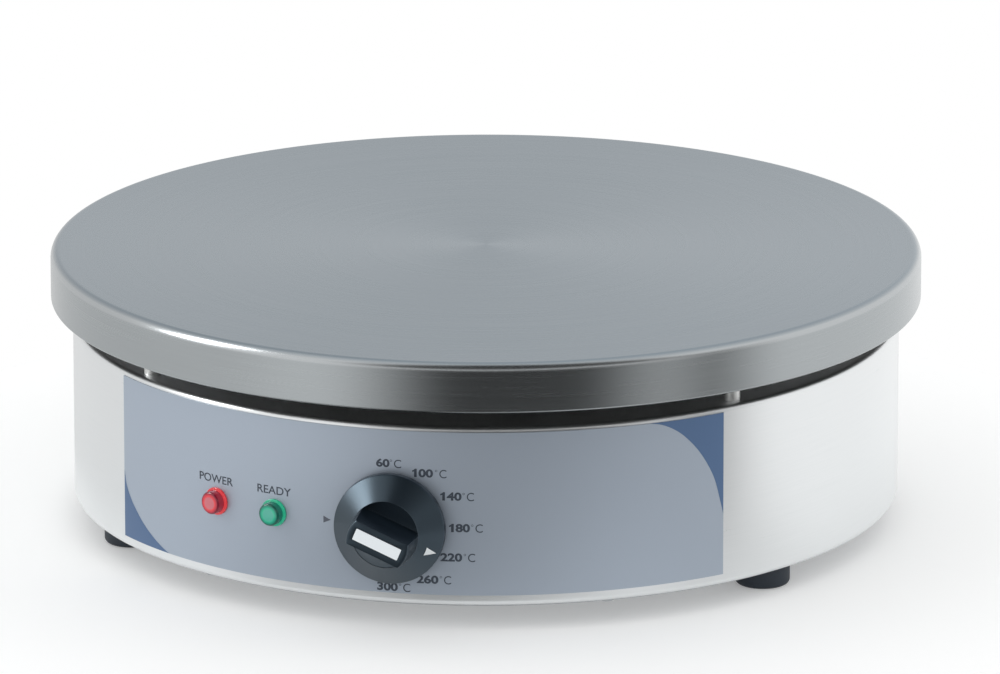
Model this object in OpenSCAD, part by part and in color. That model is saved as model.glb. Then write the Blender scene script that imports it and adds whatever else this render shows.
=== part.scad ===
// Countertop electric crepe maker: a cast griddle plate on a round steel body,
// with a thermostat knob, two pilot lights, a printed control panel and three feet.
// Millimetres, +Z up, front towards -Y, origin under the plate's centre at table level.

/* [Griddle plate] */
// Diameter of the griddle plate
plate_d = 400; // [380:1:420]
// Full thickness of the plate at its rim
plate_h = 22.7; // [21:0.1:26]
// Thickness of the casting above the heating element
plate_web = 12; // [11.5:0.1:13]
// Rounding of the upper edge
plate_edge_r = 4; // [2:0.5:6]
// Rounding of the lower edge
plate_low_edge_r = 1; // [0.5:0.1:2]

/* [Body] */
// Diameter of the drum
body_d = 380; // [370:1:390]
// Height of the drum
body_h = 83; // [76:0.5:100]
// Thickness of the stainless sheet
sheet = 1; // [0.8:0.1:1.2]
// Outer rounding of the drum's shoulder
shoulder_r = 2.4; // [2:0.1:4]
// Outer rounding of the drum's lower edge
low_edge_r = 2.5; // [2:0.1:4]
// Width of the flange turned in at the drum's lower edge
return_w = 14; // [12:0.5:18]
// Clear gap between the drum's deck and the plate
body_gap = 9.3; // [8.5:0.1:14]
// Thickness of the base plate
base_sheet = 1; // [0.8:0.1:1.5]
// Gap between the base plate's edge and the drum's outer face, seen from below
base_inset = 4; // [3:0.5:6]

/* [Plate posts] */
// Diameter of the bright posts that carry the plate
post_d = 7.5; // [7:0.1:10]
// Distance of the posts' axes from the edge of the drum, or of the plate if it is smaller
post_inset = 8; // [7.5:0.5:12]
// Width of the plate's solid rim inside the posts' axes
post_rim_w = 10; // [9:0.5:14]
// Angle from the front to each front post, before the turn
post_half_angle = 46.5; // [40:0.5:50]
// Turn of the whole set of posts about the centre
post_turn = 3.4; // [0:0.1:6]
// Diameter of the studs inside the posts
post_stud_d = 5; // [4:0.5:5]
// Depth to which the studs enter the plate
post_stud_bite = 12; // [8:0.5:16]

/* [Feet] */
// Diameter of a rubber foot
foot_d = 25; // [22:0.5:30]
// Height of a rubber foot
foot_h = 11; // [9:0.5:16]
// Rounding of a foot's lower edge
foot_edge_r = 2.5; // [1.5:0.5:3]
// Distance of the feet's axes inside the drum's turned-in flange
foot_inset = 6; // [6:0.5:20]
// Angle between neighbouring feet
foot_spread_angle = 120; // [115:1:125]

/* [Control panel] */
// Angle that the panel covers to each side of the front
panel_half_angle = 46.6; // [40:0.1:50]
// Height of the panel
panel_h = 75.5; // [70:0.5:75.5]
// Height of the panel's lower edge above the drum's lower edge
panel_low = 5.1; // [4:0.1:5.1]
// Thickness of the panel film
film = 0.4; // [0.3:0.1:0.5]
// Height of the knob and the pilot lights above the drum's lower edge
control_h = 36.4; // [34:0.2:42]

/* [Knob] */
// Diameter of the knob's skirt
knob_d = 50.6; // [46:0.2:54]
// Distance from the panel to the knob's back edge
knob_lift = 2.5; // [1.5:0.1:4]
// Depth of the skirt's straight side
knob_side = 4; // [3:0.1:5]
// Distance from the panel to the front of the skirt's cone
knob_cone_reach = 15; // [13:0.1:16]
// Distance from the panel to the face of the grip
knob_reach = 29.7; // [27:0.1:32]
// Radius of the hub where it meets the cone
hub_base_r = 15.3; // [14:0.1:17]
// Radius of the hub at its face
hub_face_r = 14.25; // [13.5:0.05:15]
// Width of the grip bar
bar_w = 11.6; // [10:0.1:13]
// Distance from the panel to the floor of the finger pockets
pocket_floor = 9.7; // [9:0.1:12]
// Length of the white insert in the grip
insert_l = 22; // [18:0.5:24]
// Width of the white insert
insert_w = 5.5; // [4:0.1:7]
// Angle of the pointer below three o'clock as drawn
knob_rest = 23; // [0:1:60]
// Diameter of the thermostat's shaft
shaft_d = 6; // [5:0.5:7]

/* [Pilot lights] */
// Angle from the front to the red light
red_angle = -26.6; // [-32:0.1:-25]
// Angle from the front to the green light
green_angle = -17.1; // [-20:0.1:-16]
// Diameter of a lens flange
lens_flange_d = 12.6; // [12:0.1:14]
// Diameter of a lens
lens_d = 10.4; // [9.8:0.1:11]
// Distance a lens stands off the drum
lens_reach = 5.9; // [4.5:0.1:8]
// Diameter of the part of a lens that goes through the drum
lens_neck_d = 9.6; // [8:0.1:9.6]

/* [Heating element] */
// Diameter of the element's tube
element_d = 6.5; // [6:0.1:6.6]
// Radius of the element's outer loop
outer_loop_r = 150; // [146:1:156]
// Radius of the element's middle loop
middle_loop_r = 110; // [106:1:114]
// Radius of the element's inner loop
inner_loop_r = 70; // [64:1:76]
// Half of the angle left open between the loops' ends
element_gap_angle = 12; // [11:0.5:16]
// Radius of the bend where each end turns down
element_bend = 10; // [9:0.5:11]
// Thickness of the clamp ring
clamp_t = 1.5; // [1.2:0.1:1.8]
// Thickness of the insulation pad
pad_t = 5; // [4.5:0.1:5]
// Thickness of the heat shield
shield_t = 0.8; // [0.6:0.1:0.9]
// Diameter of the clamp studs
clamp_stud_d = 5; // [4:0.5:5]

/* [Sensors] */
// Diameter of the two sensor bulbs
bulb_d = 6; // [5:0.1:6.2]
// Length of the sensor bulbs
bulb_l = 70; // [60:1:74]
// Distance of each bulb from the plate's centre line
bulb_offset = 12; // [10:0.5:16]
// Diameter of the capillary tubes
capillary_d = 2; // [1.5:0.1:2.5]

/* [Overheat limiter] */
// Place of the limiter on the base plate, to the right of the centre
limiter_x = -70; // [-90:1:-60]
// Place of the limiter on the base plate, behind the centre
limiter_y = 90; // [80:1:100]
// Travel of the reset button
reset_travel = 2; // [1.5:0.1:2.5]
// Diameter of the reset button
reset_d = 4.8; // [4:0.1:5.4]

/* [Supply] */
// Height of the cable gland's axis above the drum's lower edge
gland_h = 28; // [26:0.5:40]
// Thread diameter of the cable gland
gland_d = 20; // [18:0.5:22]
// Diameter of the hole for a supply cable in the gland's seal
cable_bore_d = 10; // [8:0.5:11]
// Distance the gland stands off the drum
gland_reach = 29.7; // [26:0.1:32]
// Place of the terminal block, to the right of the centre
block_x = 46; // [40:1:60]
// Place of the terminal block, behind the centre
block_y = 118; // [105:1:125]
// Place of the earth bolt, to the right of the centre
earth_x = 104; // [90:1:120]
// Place of the earth bolt, behind the centre
earth_y = 62; // [50:1:80]

/* [Hidden] */
$fn = 96;

// Clearances
slip = 0.05;      // radial, for a pin or a tube in its own hole
loose = 0.2;      // radial, for a screw through a sheet
seat_gap = 0.15;  // behind the curved wall, where a flat piece seats on it
glue = 0.05;      // under the panel film and the rear plate
cut = 1;          // how far a cutting shape runs past the face it opens
blind_gap = 1;    // left in a blind hole past the end of what goes in it
pocket_gap = 1;   // round a head, a nut or a tube that passes a soft pad
groove_slip = 0.35;  // radial, for the element in its grooves
end_ease = 0.3;      // added to the grooves at the element's bends and ends
button_slip = 0.3;  // radial, for the reset button's collar

// Hexagon nuts and heads, as shares of their thread's diameter
nut_corner_share = 0.92;
nut_height_share = 0.8;

// Levels, from the table up
base_z = foot_h;
body_z = base_z + base_sheet;
deck_z = body_z + body_h;
plate_z = deck_z + body_gap;
top_z = plate_z + plate_h;
ceiling_z = top_z - plate_web;
control_z = body_z + control_h;
gland_z = body_z + gland_h;

// Radii of the main rounds
plate_r = plate_d / 2;
body_r = body_d / 2;
post_orbit = min(plate_r, body_r) - post_inset;
recess_r = post_orbit - post_rim_w;
wall_r = body_r - sheet;
base_r = body_r - base_inset;
return_r = body_r - return_w;
foot_orbit = return_r - foot_inset;
base_screw_orbit = return_r + (base_r - return_r) / 2;
base_screw_r = 2;
base_screw_head_r = 3.5;
base_screw_head_h = 1.2;
base_screw_tail = 4;
base_screw_angles = [30 : 60 : 330];

// Directions from the front, turning towards +X
post_angles = [
    post_turn - post_half_angle, post_turn + post_half_angle,
    post_turn + 180 + post_half_angle, post_turn + 180 - post_half_angle
];
foot_angles = [-foot_spread_angle / 2, foot_spread_angle / 2, 180];

// Post fasteners
post_stud_r = post_stud_d / 2;
post_washer_r = post_stud_d;
post_washer_t = 1;
post_nut_h = nut_height_share * post_stud_d;
post_stud_tail = 2;

// Foot fasteners
foot_screw_r = 2.5;
foot_head_r = 4.5;
foot_head_h = 3;
foot_recess_r = 6;
foot_recess_h = 5;
foot_nut_h = 4;
foot_washer_r = 6;
foot_washer_t = 1;
foot_screw_tail = 1;

// Heating element
element_r = element_d / 2;
loop_steps = 68;
bend_step_angle = 10;
bend_lap_angle = 3;     // angle that a bend's groove runs into the loops' grooves
elbow_step_angle = 18;
leg_gap = 1.5;
leg_drop = 8;
rear_angle = 90;  // the loops' open ends face the rear, counted from +X
leg_low_z = deck_z - leg_drop;
element_loops = [outer_loop_r, middle_loop_r, inner_loop_r];
bead_r = 6;
bead_flange_r = 8;
bead_flange_h = 3;
bead_below = 5;
pin_r = 2;
pin_l = 12;
pin_nut_h = 3;
pin_nut_r = 4;
pin_nut_up = 3;
clamp_gap = 10;
pad_gap = 4;
shield_gap = 2;
clamp_z = ceiling_z - element_r - clamp_t;
clamp_r = recess_r - clamp_gap;
clamp_hole_r = 50;
pad_z = clamp_z - pad_t;
pad_r = recess_r - pad_gap;
shield_z = pad_z - shield_t;
shield_r = recess_r - shield_gap;
shield_rim_h = 5;
clamp_stud_r = clamp_stud_d / 2;
clamp_stud_orbit = (middle_loop_r + inner_loop_r) / 2;
clamp_stud_angles = [150, 270, 30];
clamp_stud_bite = 6;
clamp_nut_h = nut_height_share * clamp_stud_d;
clamp_nut_r = nut_corner_share * clamp_stud_d;
clamp_stud_tail = 1;

// Sensor bulbs and their clip
bulb_r = bulb_d / 2;
capillary_r = capillary_d / 2;
clip_t = 1.2;
clip_w = 16;
clip_past = 3;
clip_l = 2 * (bulb_offset + bulb_r + clip_past);
clip_screw_r = 2.5;
clip_screw_bite = 8;
clip_screw_head_r = 4.5;
clip_screw_head_h = 2.5;
capillary_turn = 8;
capillary_bend = 5;
capillary_turn_x = bulb_l / 2 + capillary_turn;
capillary_hole_r = capillary_r + pocket_gap;

// Panel film and what seats on it, measured outwards from the drum's outer face
film_face = glue + film;
film_r = body_r + film_face;

// Flat level just outside the curved film at a distance from its crest
function film_outside(x) = sqrt(film_r * film_r - x * x) - body_r;

// Flat level just inside the drum's wall that clears it to each side
function wall_inside(x) = sqrt(wall_r * wall_r - x * x) - body_r;

// Knob, measured outwards from the drum's outer face
knob_r = knob_d / 2;
knob_back = film_face + knob_lift;
knob_rim = knob_back + knob_side;
knob_cone_z = film_face + knob_cone_reach;
knob_face = film_face + knob_reach;
knob_floor = film_face + pocket_floor;
knob_edge_r = 1;
knob_bevel = 0.5;
knob_wall = 2.2;
knob_front_wall = 1.5;
knob_cone_inset = 2;
knob_boss_r = 7;
insert_t = 1;
insert_proud = 0.1;
insert_corner_r = 0.4;

// Thermostat, measured outwards from the drum's outer face
shaft_r = shaft_d / 2;
shaft_flat_depth = 1.2;
shaft_flat = shaft_r - shaft_flat_depth;
shaft_grip = 8;
shaft_depth = 12;
shaft_in_knob = knob_floor + shaft_grip;
bracket_w = 50;
bracket_h = 56;
bracket_t = 1.5;
bracket_face = wall_inside(bracket_w / 2) - seat_gap;
thermostat_face = bracket_face - bracket_t - slip;
thermostat_w = 40;
thermostat_h = 34;
thermostat_l = 30;
thermostat_screw_x = 14;
thermostat_screw_r = 2;
thermostat_screw_head_r = 3.5;
thermostat_screw_head_h = 2.4;
thermostat_screw_bite = 8;
thermostat_screw_seat = film_outside(thermostat_screw_x - thermostat_screw_head_r) + slip;
shaft_hole_gap = 1.5;
shaft_hole_r = shaft_r + shaft_hole_gap;

// Pilot lights, measured outwards from the drum's outer face
lens_seat = film_face + slip;
lens_flange_t = 1.2;
lens_root = 0.5;
lens_neck_r = lens_neck_d / 2;
lens_wall = 1;
lens_front_wall = 1.5;
lens_neck_depth = 12;
lens_dome_edge_r = 1.4;
lamp_hole_r = lens_neck_r + loose;
retainer_t = 0.5;
retainer_w = 3.6;
retainer_r = lens_neck_r + retainer_w;
retainer_face = wall_inside(retainer_r) - slip;
holder_wall = 2.2;
holder_r = lens_neck_r + holder_wall;
holder_l = 20;
holder_face = retainer_face - retainer_t - slip;
neon_r = 2.8;
neon_l = 13;

// Overheat limiter, from the base plate up
limiter_w = 34;
limiter_l = 22;
bushing_r = 5;
bushing_above = 14;
button_guide_l = 3;
bushing_flange_r = 9;
bushing_flange_t = 2;
bushing_below = 3.5;
bushing_top = body_z + bushing_above;
button_r = reset_d / 2;
button_guide_top = body_z + button_guide_l;
button_collar_w = 1.2;
button_collar_r = button_r + button_collar_w;
button_collar_t = 1.7;
button_collar_gap = 0.3;
button_reach = 3;
button_tail_r = 1.5;
button_chamber_r = button_collar_r + button_slip;
limiter_nut_h = 2.5;
limiter_nut_r = 8;
spring_wire_r = 0.3;
spring_gap = 0.5;
spring_r = button_tail_r + spring_gap + spring_wire_r;
spring_turns = 5;
spring_turn_steps = 12;
spring_sides = 6;

// Cable gland, measured outwards from the drum's outer face
gland_r = gland_d / 2;
gland_hex_w = 3.5;
gland_hex_r = gland_r + gland_hex_w;
gland_washer_t = 1;
gland_washer_inset = 1;
gland_flange_t = 5;
gland_thread = 1;
gland_neck_r = gland_r - gland_thread;
gland_neck_l = 13;
gland_neck_end = gland_washer_t + gland_flange_t + gland_neck_l;
gland_tail = 11;
gland_wall = 3.5;
gland_bore_r = gland_r - gland_wall;
gland_lip = 1;
seal_wall = 2;
seal_r = gland_r - seal_wall;
seal_rest = 2;
seal_start = gland_washer_t + gland_flange_t + seal_rest;
seal_back = 6;
seal_end = gland_reach - seal_back;
cable_bore_r = cable_bore_d / 2;
locknut_t = 4.5;
locknut_face = wall_inside(gland_hex_r) - seat_gap;

// Terminal block, earth bolt and rear plate
block_w = 46;
block_d = 22;
block_hgt = 18;
block_pitch = 14;
block_wire_r = 2.2;
block_screw_r = 2.5;
block_screw_y = 6;
block_screw_up = 2.3;
block_screw_sunk = 0.7;
earth_r = 2.5;
earth_head_h = 3;
earth_nut_h = 4;
earth_washer_t = 1;
earth_washer_r = 5.5;
earth_hex_r = nut_corner_share * 2 * earth_r;
earth_tail = 14;
rear_plate_angle = 150;
rear_plate_span_angle = 18;
rear_plate_h = 30;
rear_plate_low = 30;
rear_plate_t = 0.5;
vent_count = 5;
vent_l = 44;
vent_w = 5;
vent_pitch = 14;
vent_y = 20;
vent_apart = 30;

// Wiring
wire_r = 1.3;
lamp_wire_r = 0.9;
wire_steps = 4;
wire_stub = 8;    // straight start and end of a wire
wire_bow = 16;    // how far a wire swings out beside its end
limiter_pin_out = 10;
thermostat_pin_x = 10;
thermostat_pin_up = 8;
thermostat_pin_down = 6;
lamp_wire_pitch = 4;
lamp_wire_down = 13;

// Colours
c_cast = [0.40, 0.41, 0.42];
c_steel = [0.82, 0.83, 0.84];
c_bright = [0.90, 0.90, 0.91];
c_zinc = [0.70, 0.71, 0.70];
c_panel = [0.56, 0.59, 0.63];
c_black = [0.12, 0.13, 0.14];
c_white = [0.92, 0.93, 0.95];
c_ceramic = [0.90, 0.87, 0.80];
c_copper = [0.72, 0.45, 0.28];
c_red = [0.82, 0.10, 0.14];
c_green = [0.05, 0.62, 0.45];
c_sheath = [0.52, 0.48, 0.44];
c_wool = [0.88, 0.86, 0.80];
c_brown = [0.42, 0.26, 0.16];
c_blue = [0.16, 0.30, 0.62];
c_earth = [0.45, 0.62, 0.16];

// ---- Shared shapes ----

// Puts its children at an angle from the front, at a distance from the centre
module at_angle(angle, orbit) {
    rotate([0, 0, angle]) translate([0, -orbit, 0]) children();
}

// Puts its children on the drum's outer face, their +Z pointing outwards
module on_wall(angle, z) {
    rotate([0, 0, angle]) translate([0, -body_r, z]) rotate([90, 0, 0]) children();
}

// Solid drum with rounded lower and upper edges
module drum_solid(r, z0, z1, low_r, high_r) {
    rotate_extrude() {
        translate([0, z0]) square([r - max(low_r, high_r), z1 - z0]);
        translate([0, z0 + low_r]) square([r, z1 - z0 - low_r - high_r]);
        translate([0, z0]) square([r - low_r, low_r + high_r]);
        translate([0, z1 - low_r - high_r]) square([r - high_r, low_r + high_r]);
        translate([r - low_r, z0 + low_r]) circle(low_r);
        translate([r - high_r, z1 - high_r]) circle(high_r);
    }
}

module ring(outer_r, inner_r, h) {
    difference() {
        cylinder(r = outer_r, h = h);
        translate([0, 0, -cut]) cylinder(r = inner_r, h = h + 2 * cut);
    }
}

module hex_nut(corner_r, hole_r, h) {
    difference() {
        cylinder(r = corner_r, h = h, $fn = 6);
        translate([0, 0, -cut]) cylinder(r = hole_r, h = h + 2 * cut);
    }
}

// Curved sheet on the drum's face, from one angle to another
module wall_sheet(from_angle, to_angle, z, h, t) {
    rotate([0, 0, from_angle - 90])
        rotate_extrude(angle = to_angle - from_angle)
            translate([body_r + glue, z]) square([t, h]);
}

// Flat outline with rounded corners, centred
module rounded_bar(l, w, r) {
    square([l - 2 * r, w], center = true);
    square([l, w - 2 * r], center = true);
    for (sx = [-1, 1], sy = [-1, 1])
        translate([sx * (l / 2 - r), sy * (w / 2 - r)]) circle(r);
}

function arc_points(cx, cy, r, a0, a1, steps) = [
    for (i = [0 : steps]) let (a = a0 + (a1 - a0) * i / steps)
        [cx + r * cos(a), cy + r * sin(a)]
];

// Point between p1 and p2 on the smooth curve through four points
function blend_point(p0, p1, p2, p3, t) =
    0.5 * (2 * p1 + (p2 - p0) * t + (2 * p0 - 5 * p1 + 4 * p2 - p3) * t * t
        + (3 * p1 - p0 - 3 * p2 + p3) * t * t * t);

// Smooth route through the points, straight between the first two and the last two
function smooth_route(pts, steps) =
    let (n = len(pts))
    concat(
        [pts[0]],
        [for (i = [1 : n - 3], j = [0 : steps - 1])
            blend_point(pts[i - 1], pts[i], pts[i + 1], pts[i + 2], j / steps)],
        [pts[n - 2], pts[n - 1]]
    );

function unit(v) = v / norm(v);

function route_heading(path, i) =
    unit(path[min(i + 1, len(path) - 1)] - path[max(i - 1, 0)]);

// Direction that no route runs along, used to lay out the rings of a tube
ring_guide = unit([0.83, 0.21, -0.52]);

function ring_of(path, i, r, sides) =
    let (t = route_heading(path, i), u = unit(cross(t, ring_guide)), v = cross(t, u))
    [for (k = [0 : sides - 1]) let (a = 360 * k / sides)
        path[i] + r * (cos(a) * u + sin(a) * v)];

// Round tube swept along a path, as one closed solid
module tube_along(path, r, sides = 8) {
    n = len(path);
    points = [for (i = [0 : n - 1]) each ring_of(path, i, r, sides)];
    walls = [for (i = [0 : n - 2], k = [0 : sides - 1])
        let (next = (k + 1) % sides, here = i * sides, ahead = here + sides)
        each [[here + k, ahead + k, ahead + next], [here + k, ahead + next, here + next]]];
    first_cap = [for (k = [0 : sides - 1]) k];
    last_cap = [for (k = [sides - 1 : -1 : 0]) (n - 1) * sides + k];
    polyhedron(points = points, faces = concat([first_cap], walls, [last_cap]));
}

// Point in the drum, as shares of its inner radius and of its height
function inside(x, y, z) = [x * wall_r, y * wall_r, body_z + z * body_h];

module wire(pts, r) {
    tube_along(smooth_route(pts, wire_steps), r);
}

// ---- Griddle plate and what it carries ----

module griddle_plate() {
    color(c_cast) difference() {
        drum_solid(plate_r, plate_z, top_z, plate_low_edge_r, plate_edge_r);
        translate([0, 0, plate_z - cut])
            cylinder(r = recess_r, h = ceiling_z - plate_z + cut);
        element_grooves();
        for (a = post_angles)
            at_angle(a, post_orbit) translate([0, 0, plate_z - cut])
                cylinder(r = post_stud_r + slip, h = post_stud_bite + cut + blind_gap);
        clamp_stud_places() translate([0, 0, ceiling_z - cut])
            cylinder(r = clamp_stud_r + slip, h = clamp_stud_bite + cut + blind_gap);
        for (side = [-1, 1])
            translate([-bulb_l / 2 - blind_gap, side * bulb_offset, ceiling_z])
                rotate([0, 90, 0]) cylinder(r = bulb_r + slip, h = bulb_l + 2 * blind_gap);
        translate([0, 0, ceiling_z - cut])
            cylinder(r = clip_screw_r + slip, h = clip_screw_bite + cut + blind_gap);
    }
}

module clamp_stud_places() {
    for (a = clamp_stud_angles)
        rotate([0, 0, a]) translate([clamp_stud_orbit, 0, 0]) children();
}

// Grooves in the casting that hold the upper half of the element
module element_grooves() {
    r = element_r + groove_slip;
    translate([0, 0, ceiling_z]) rotate([0, 0, rear_angle]) {
        for (loop_r = element_loops)
            rotate([0, 0, element_gap_angle]) rotate_extrude(angle = 360 - 2 * element_gap_angle)
                translate([loop_r, 0]) circle(r);
        u_groove(outer_loop_r, middle_loop_r, -element_gap_angle, 0, r);
        u_groove(middle_loop_r, inner_loop_r, element_gap_angle, 180, r);
        element_end_grooves(r);
    }
}

// Half-round groove, a little wider, that joins two loops' grooves
module u_groove(outer, inner, angle, turn, r) {
    rotate([0, 0, angle]) translate([(outer + inner) / 2, 0, 0]) rotate([0, 0, turn])
        rotate([0, 0, -bend_lap_angle]) rotate_extrude(angle = 180 + 2 * bend_lap_angle)
            translate([(outer - inner) / 2, 0]) circle(r + end_ease);
}

// Short straight grooves, a little wider, where the element's ends start to turn down
module element_end_grooves(r) {
    for (end = [[outer_loop_r, element_gap_angle, 90], [inner_loop_r, -element_gap_angle, -90]])
        rotate([0, 0, end[1]]) translate([end[0], 0, 0]) rotate([end[2], 0, 0])
            translate([0, 0, -cut]) cylinder(r = r + end_ease, h = element_bend + cut);
}

// Puts its children where an end of the element points straight down
module element_ends() {
    rotate([0, 0, rear_angle]) {
        rotate([0, 0, element_gap_angle]) translate([outer_loop_r, -element_bend, 0]) children();
        rotate([0, 0, -element_gap_angle]) translate([inner_loop_r, element_bend, 0]) children();
    }
}

// Point at a radius and an angle, moved sideways by s and up by z
function polar_point(r, a, s = 0, z = 0) =
    [r * cos(a) - s * sin(a), r * sin(a) + s * cos(a), z];

function loop_points(r, a0, a1) =
    [for (i = [0 : loop_steps]) polar_point(r, a0 + (a1 - a0) * i / loop_steps)];

function bend_points(outer, inner, a, side) =
    [for (t = [bend_step_angle : bend_step_angle : 180 - bend_step_angle]) polar_point(
        (outer + inner) / 2 + (outer - inner) / 2 * cos(t), a,
        side * (outer - inner) / 2 * sin(t))];

// Elbow between a loop's end and its leg, from the leg up
function elbow_points(r, a, side) =
    [for (t = [0 : elbow_step_angle : 90 - elbow_step_angle]) polar_point(
        r, a, side * element_bend * cos(t), element_bend * (sin(t) - 1))];

function reversed(list) = [for (i = [len(list) - 1 : -1 : 0]) list[i]];

element_path = concat(
    [polar_point(outer_loop_r, element_gap_angle, -element_bend, leg_low_z - ceiling_z)],
    elbow_points(outer_loop_r, element_gap_angle, -1),
    loop_points(outer_loop_r, element_gap_angle, 360 - element_gap_angle),
    bend_points(outer_loop_r, middle_loop_r, -element_gap_angle, 1),
    loop_points(middle_loop_r, 360 - element_gap_angle, element_gap_angle),
    bend_points(middle_loop_r, inner_loop_r, element_gap_angle, -1),
    loop_points(inner_loop_r, element_gap_angle, 360 - element_gap_angle),
    reversed(elbow_points(inner_loop_r, -element_gap_angle, 1)),
    [polar_point(inner_loop_r, -element_gap_angle, element_bend, leg_low_z - ceiling_z)]
);

module heating_element() {
    color(c_sheath) translate([0, 0, ceiling_z]) rotate([0, 0, rear_angle])
        tube_along(element_path, element_r);
}

module element_terminals() {
    color(c_bright) element_ends() {
        translate([0, 0, leg_low_z - pin_l]) cylinder(r = pin_r, h = pin_l);
        translate([0, 0, leg_low_z - pin_l + pin_nut_up])
            hex_nut(pin_nut_r, pin_r - slip, pin_nut_h);
    }
}

module element_insulators() {
    color(c_ceramic) element_ends() difference() {
        union() {
            translate([0, 0, deck_z - bead_below]) cylinder(r = bead_r, h = bead_below);
            translate([0, 0, deck_z]) cylinder(r = bead_flange_r, h = bead_flange_h);
        }
        translate([0, 0, deck_z - bead_below - cut])
            cylinder(r = element_r + slip, h = bead_below + bead_flange_h + 2 * cut);
    }
}

// Slot that lets an end of the element through a flat piece
module element_end_slots(z, h) {
    half_w = element_r + leg_gap;
    l = element_bend + 2 * half_w;
    rotate([0, 0, rear_angle]) {
        rotate([0, 0, element_gap_angle])
            translate([outer_loop_r - half_w, -element_bend - half_w, z])
                cube([2 * half_w, l, h]);
        rotate([0, 0, -element_gap_angle])
            translate([inner_loop_r - half_w, -half_w, z]) cube([2 * half_w, l, h]);
    }
}

// Places of the two capillaries where they drop from the bulbs
module capillary_places() {
    for (side = [-1, 1])
        translate([capillary_turn_x, side * bulb_offset, 0]) children();
}

module element_clamp() {
    color(c_zinc) translate([0, 0, clamp_z]) difference() {
        ring(clamp_r, clamp_hole_r, clamp_t);
        element_end_slots(-cut, clamp_t + 2 * cut);
        clamp_stud_places() translate([0, 0, -cut])
            cylinder(r = clamp_stud_r + loose, h = clamp_t + 2 * cut);
    }
}

module insulation_pad() {
    color(c_wool) translate([0, 0, pad_z]) difference() {
        cylinder(r = pad_r, h = pad_t);
        element_end_slots(-cut, pad_t + 2 * cut);
        clamp_stud_places() translate([0, 0, -cut])
            cylinder(r = clamp_nut_r + pocket_gap, h = pad_t + 2 * cut);
        capillary_places() translate([0, 0, -cut])
            cylinder(r = capillary_hole_r, h = pad_t + 2 * cut);
        translate([0, 0, -cut])
            cylinder(r = clip_screw_head_r + pocket_gap, h = pad_t + 2 * cut);
    }
}

module heat_shield() {
    color(c_bright) translate([0, 0, shield_z]) difference() {
        cylinder(r = shield_r, h = shield_t + shield_rim_h);
        translate([0, 0, shield_t])
            cylinder(r = shield_r - shield_t, h = shield_rim_h + cut);
        element_end_slots(-cut, shield_t + shield_rim_h + 2 * cut);
        clamp_stud_places() translate([0, 0, -cut])
            cylinder(r = clamp_stud_r + loose, h = shield_t + 2 * cut);
        capillary_places() translate([0, 0, -cut])
            cylinder(r = capillary_hole_r, h = shield_t + 2 * cut);
    }
}

module clamp_studs() {
    low_z = shield_z - clamp_nut_h - clamp_stud_tail;
    color(c_zinc) clamp_stud_places() translate([0, 0, low_z])
        cylinder(r = clamp_stud_r, h = ceiling_z + clamp_stud_bite - low_z);
}

module clamp_nuts() {
    color(c_zinc) clamp_stud_places() translate([0, 0, clamp_z - clamp_nut_h])
        hex_nut(clamp_nut_r, clamp_stud_r + slip, clamp_nut_h);
}

module shield_nuts() {
    color(c_zinc) clamp_stud_places() translate([0, 0, shield_z - clamp_nut_h])
        hex_nut(clamp_nut_r, clamp_stud_r + slip, clamp_nut_h);
}

// ---- Sensor bulbs ----

module bulb_clip() {
    color(c_zinc) translate([0, 0, ceiling_z - bulb_r - clip_t - slip]) difference() {
        translate([-clip_w / 2, -clip_l / 2, 0]) cube([clip_w, clip_l, clip_t]);
        translate([0, 0, -cut]) cylinder(r = clip_screw_r + loose, h = clip_t + 2 * cut);
    }
}

module bulb_clip_screw() {
    clip_z = ceiling_z - bulb_r - clip_t - slip;
    color(c_zinc) {
        translate([0, 0, clip_z - clip_screw_head_h])
            cylinder(r = clip_screw_head_r, h = clip_screw_head_h);
        translate([0, 0, clip_z])
            cylinder(r = clip_screw_r, h = ceiling_z + clip_screw_bite - clip_z);
    }
}

module bulb(side) {
    color(c_copper) translate([-bulb_l / 2, side * bulb_offset, ceiling_z])
        rotate([0, 90, 0]) cylinder(r = bulb_r, h = bulb_l);
}

module thermostat_bulb() { bulb(-1); }
module limiter_bulb() { bulb(1); }

// Start of a capillary: out of its bulb and down through the deck
function capillary_start(y) =
    let (z = ceiling_z - capillary_r)
    [
        [bulb_l / 2, y, z],
        for (t = [0, 45, 90]) [
            capillary_turn_x - capillary_bend * (1 - sin(t)), y,
            z - capillary_bend * (1 - cos(t))
        ],
        [capillary_turn_x, y, deck_z],
        [capillary_turn_x, y, deck_z - wire_stub]
    ];

module thermostat_capillary() {
    end = thermostat_back + [thermostat_pin_x, 0, 0];
    color(c_copper) wire(concat(capillary_start(-bulb_offset), [
        inside(0.21, -0.21, 0.73), inside(0.15, -0.42, 0.63),
        end + [0, wire_stub, 0], end
    ]), capillary_r);
}

module limiter_capillary() {
    end = limiter_top - [0, limiter_pin_out, 0];
    color(c_copper) wire(concat(capillary_start(bulb_offset), [
        inside(0.1, 0.16, 0.78), inside(-0.16, 0.32, 0.6),
        end + [0, 0, wire_stub], end
    ]), capillary_r);
}

// ---- Posts ----

module plate_post(i) {
    color(c_bright) at_angle(post_angles[i], post_orbit) translate([0, 0, deck_z])
        ring(post_d / 2, post_stud_r + slip, body_gap);
}

module post_front_left() { plate_post(0); }
module post_front_right() { plate_post(1); }
module post_rear_right() { plate_post(3); }
module post_rear_left() { plate_post(2); }

module post_studs() {
    low_z = deck_z - sheet - post_washer_t - post_nut_h - post_stud_tail;
    color(c_zinc) for (a = post_angles) at_angle(a, post_orbit) translate([0, 0, low_z])
        cylinder(r = post_stud_r, h = plate_z + post_stud_bite - low_z);
}

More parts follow.
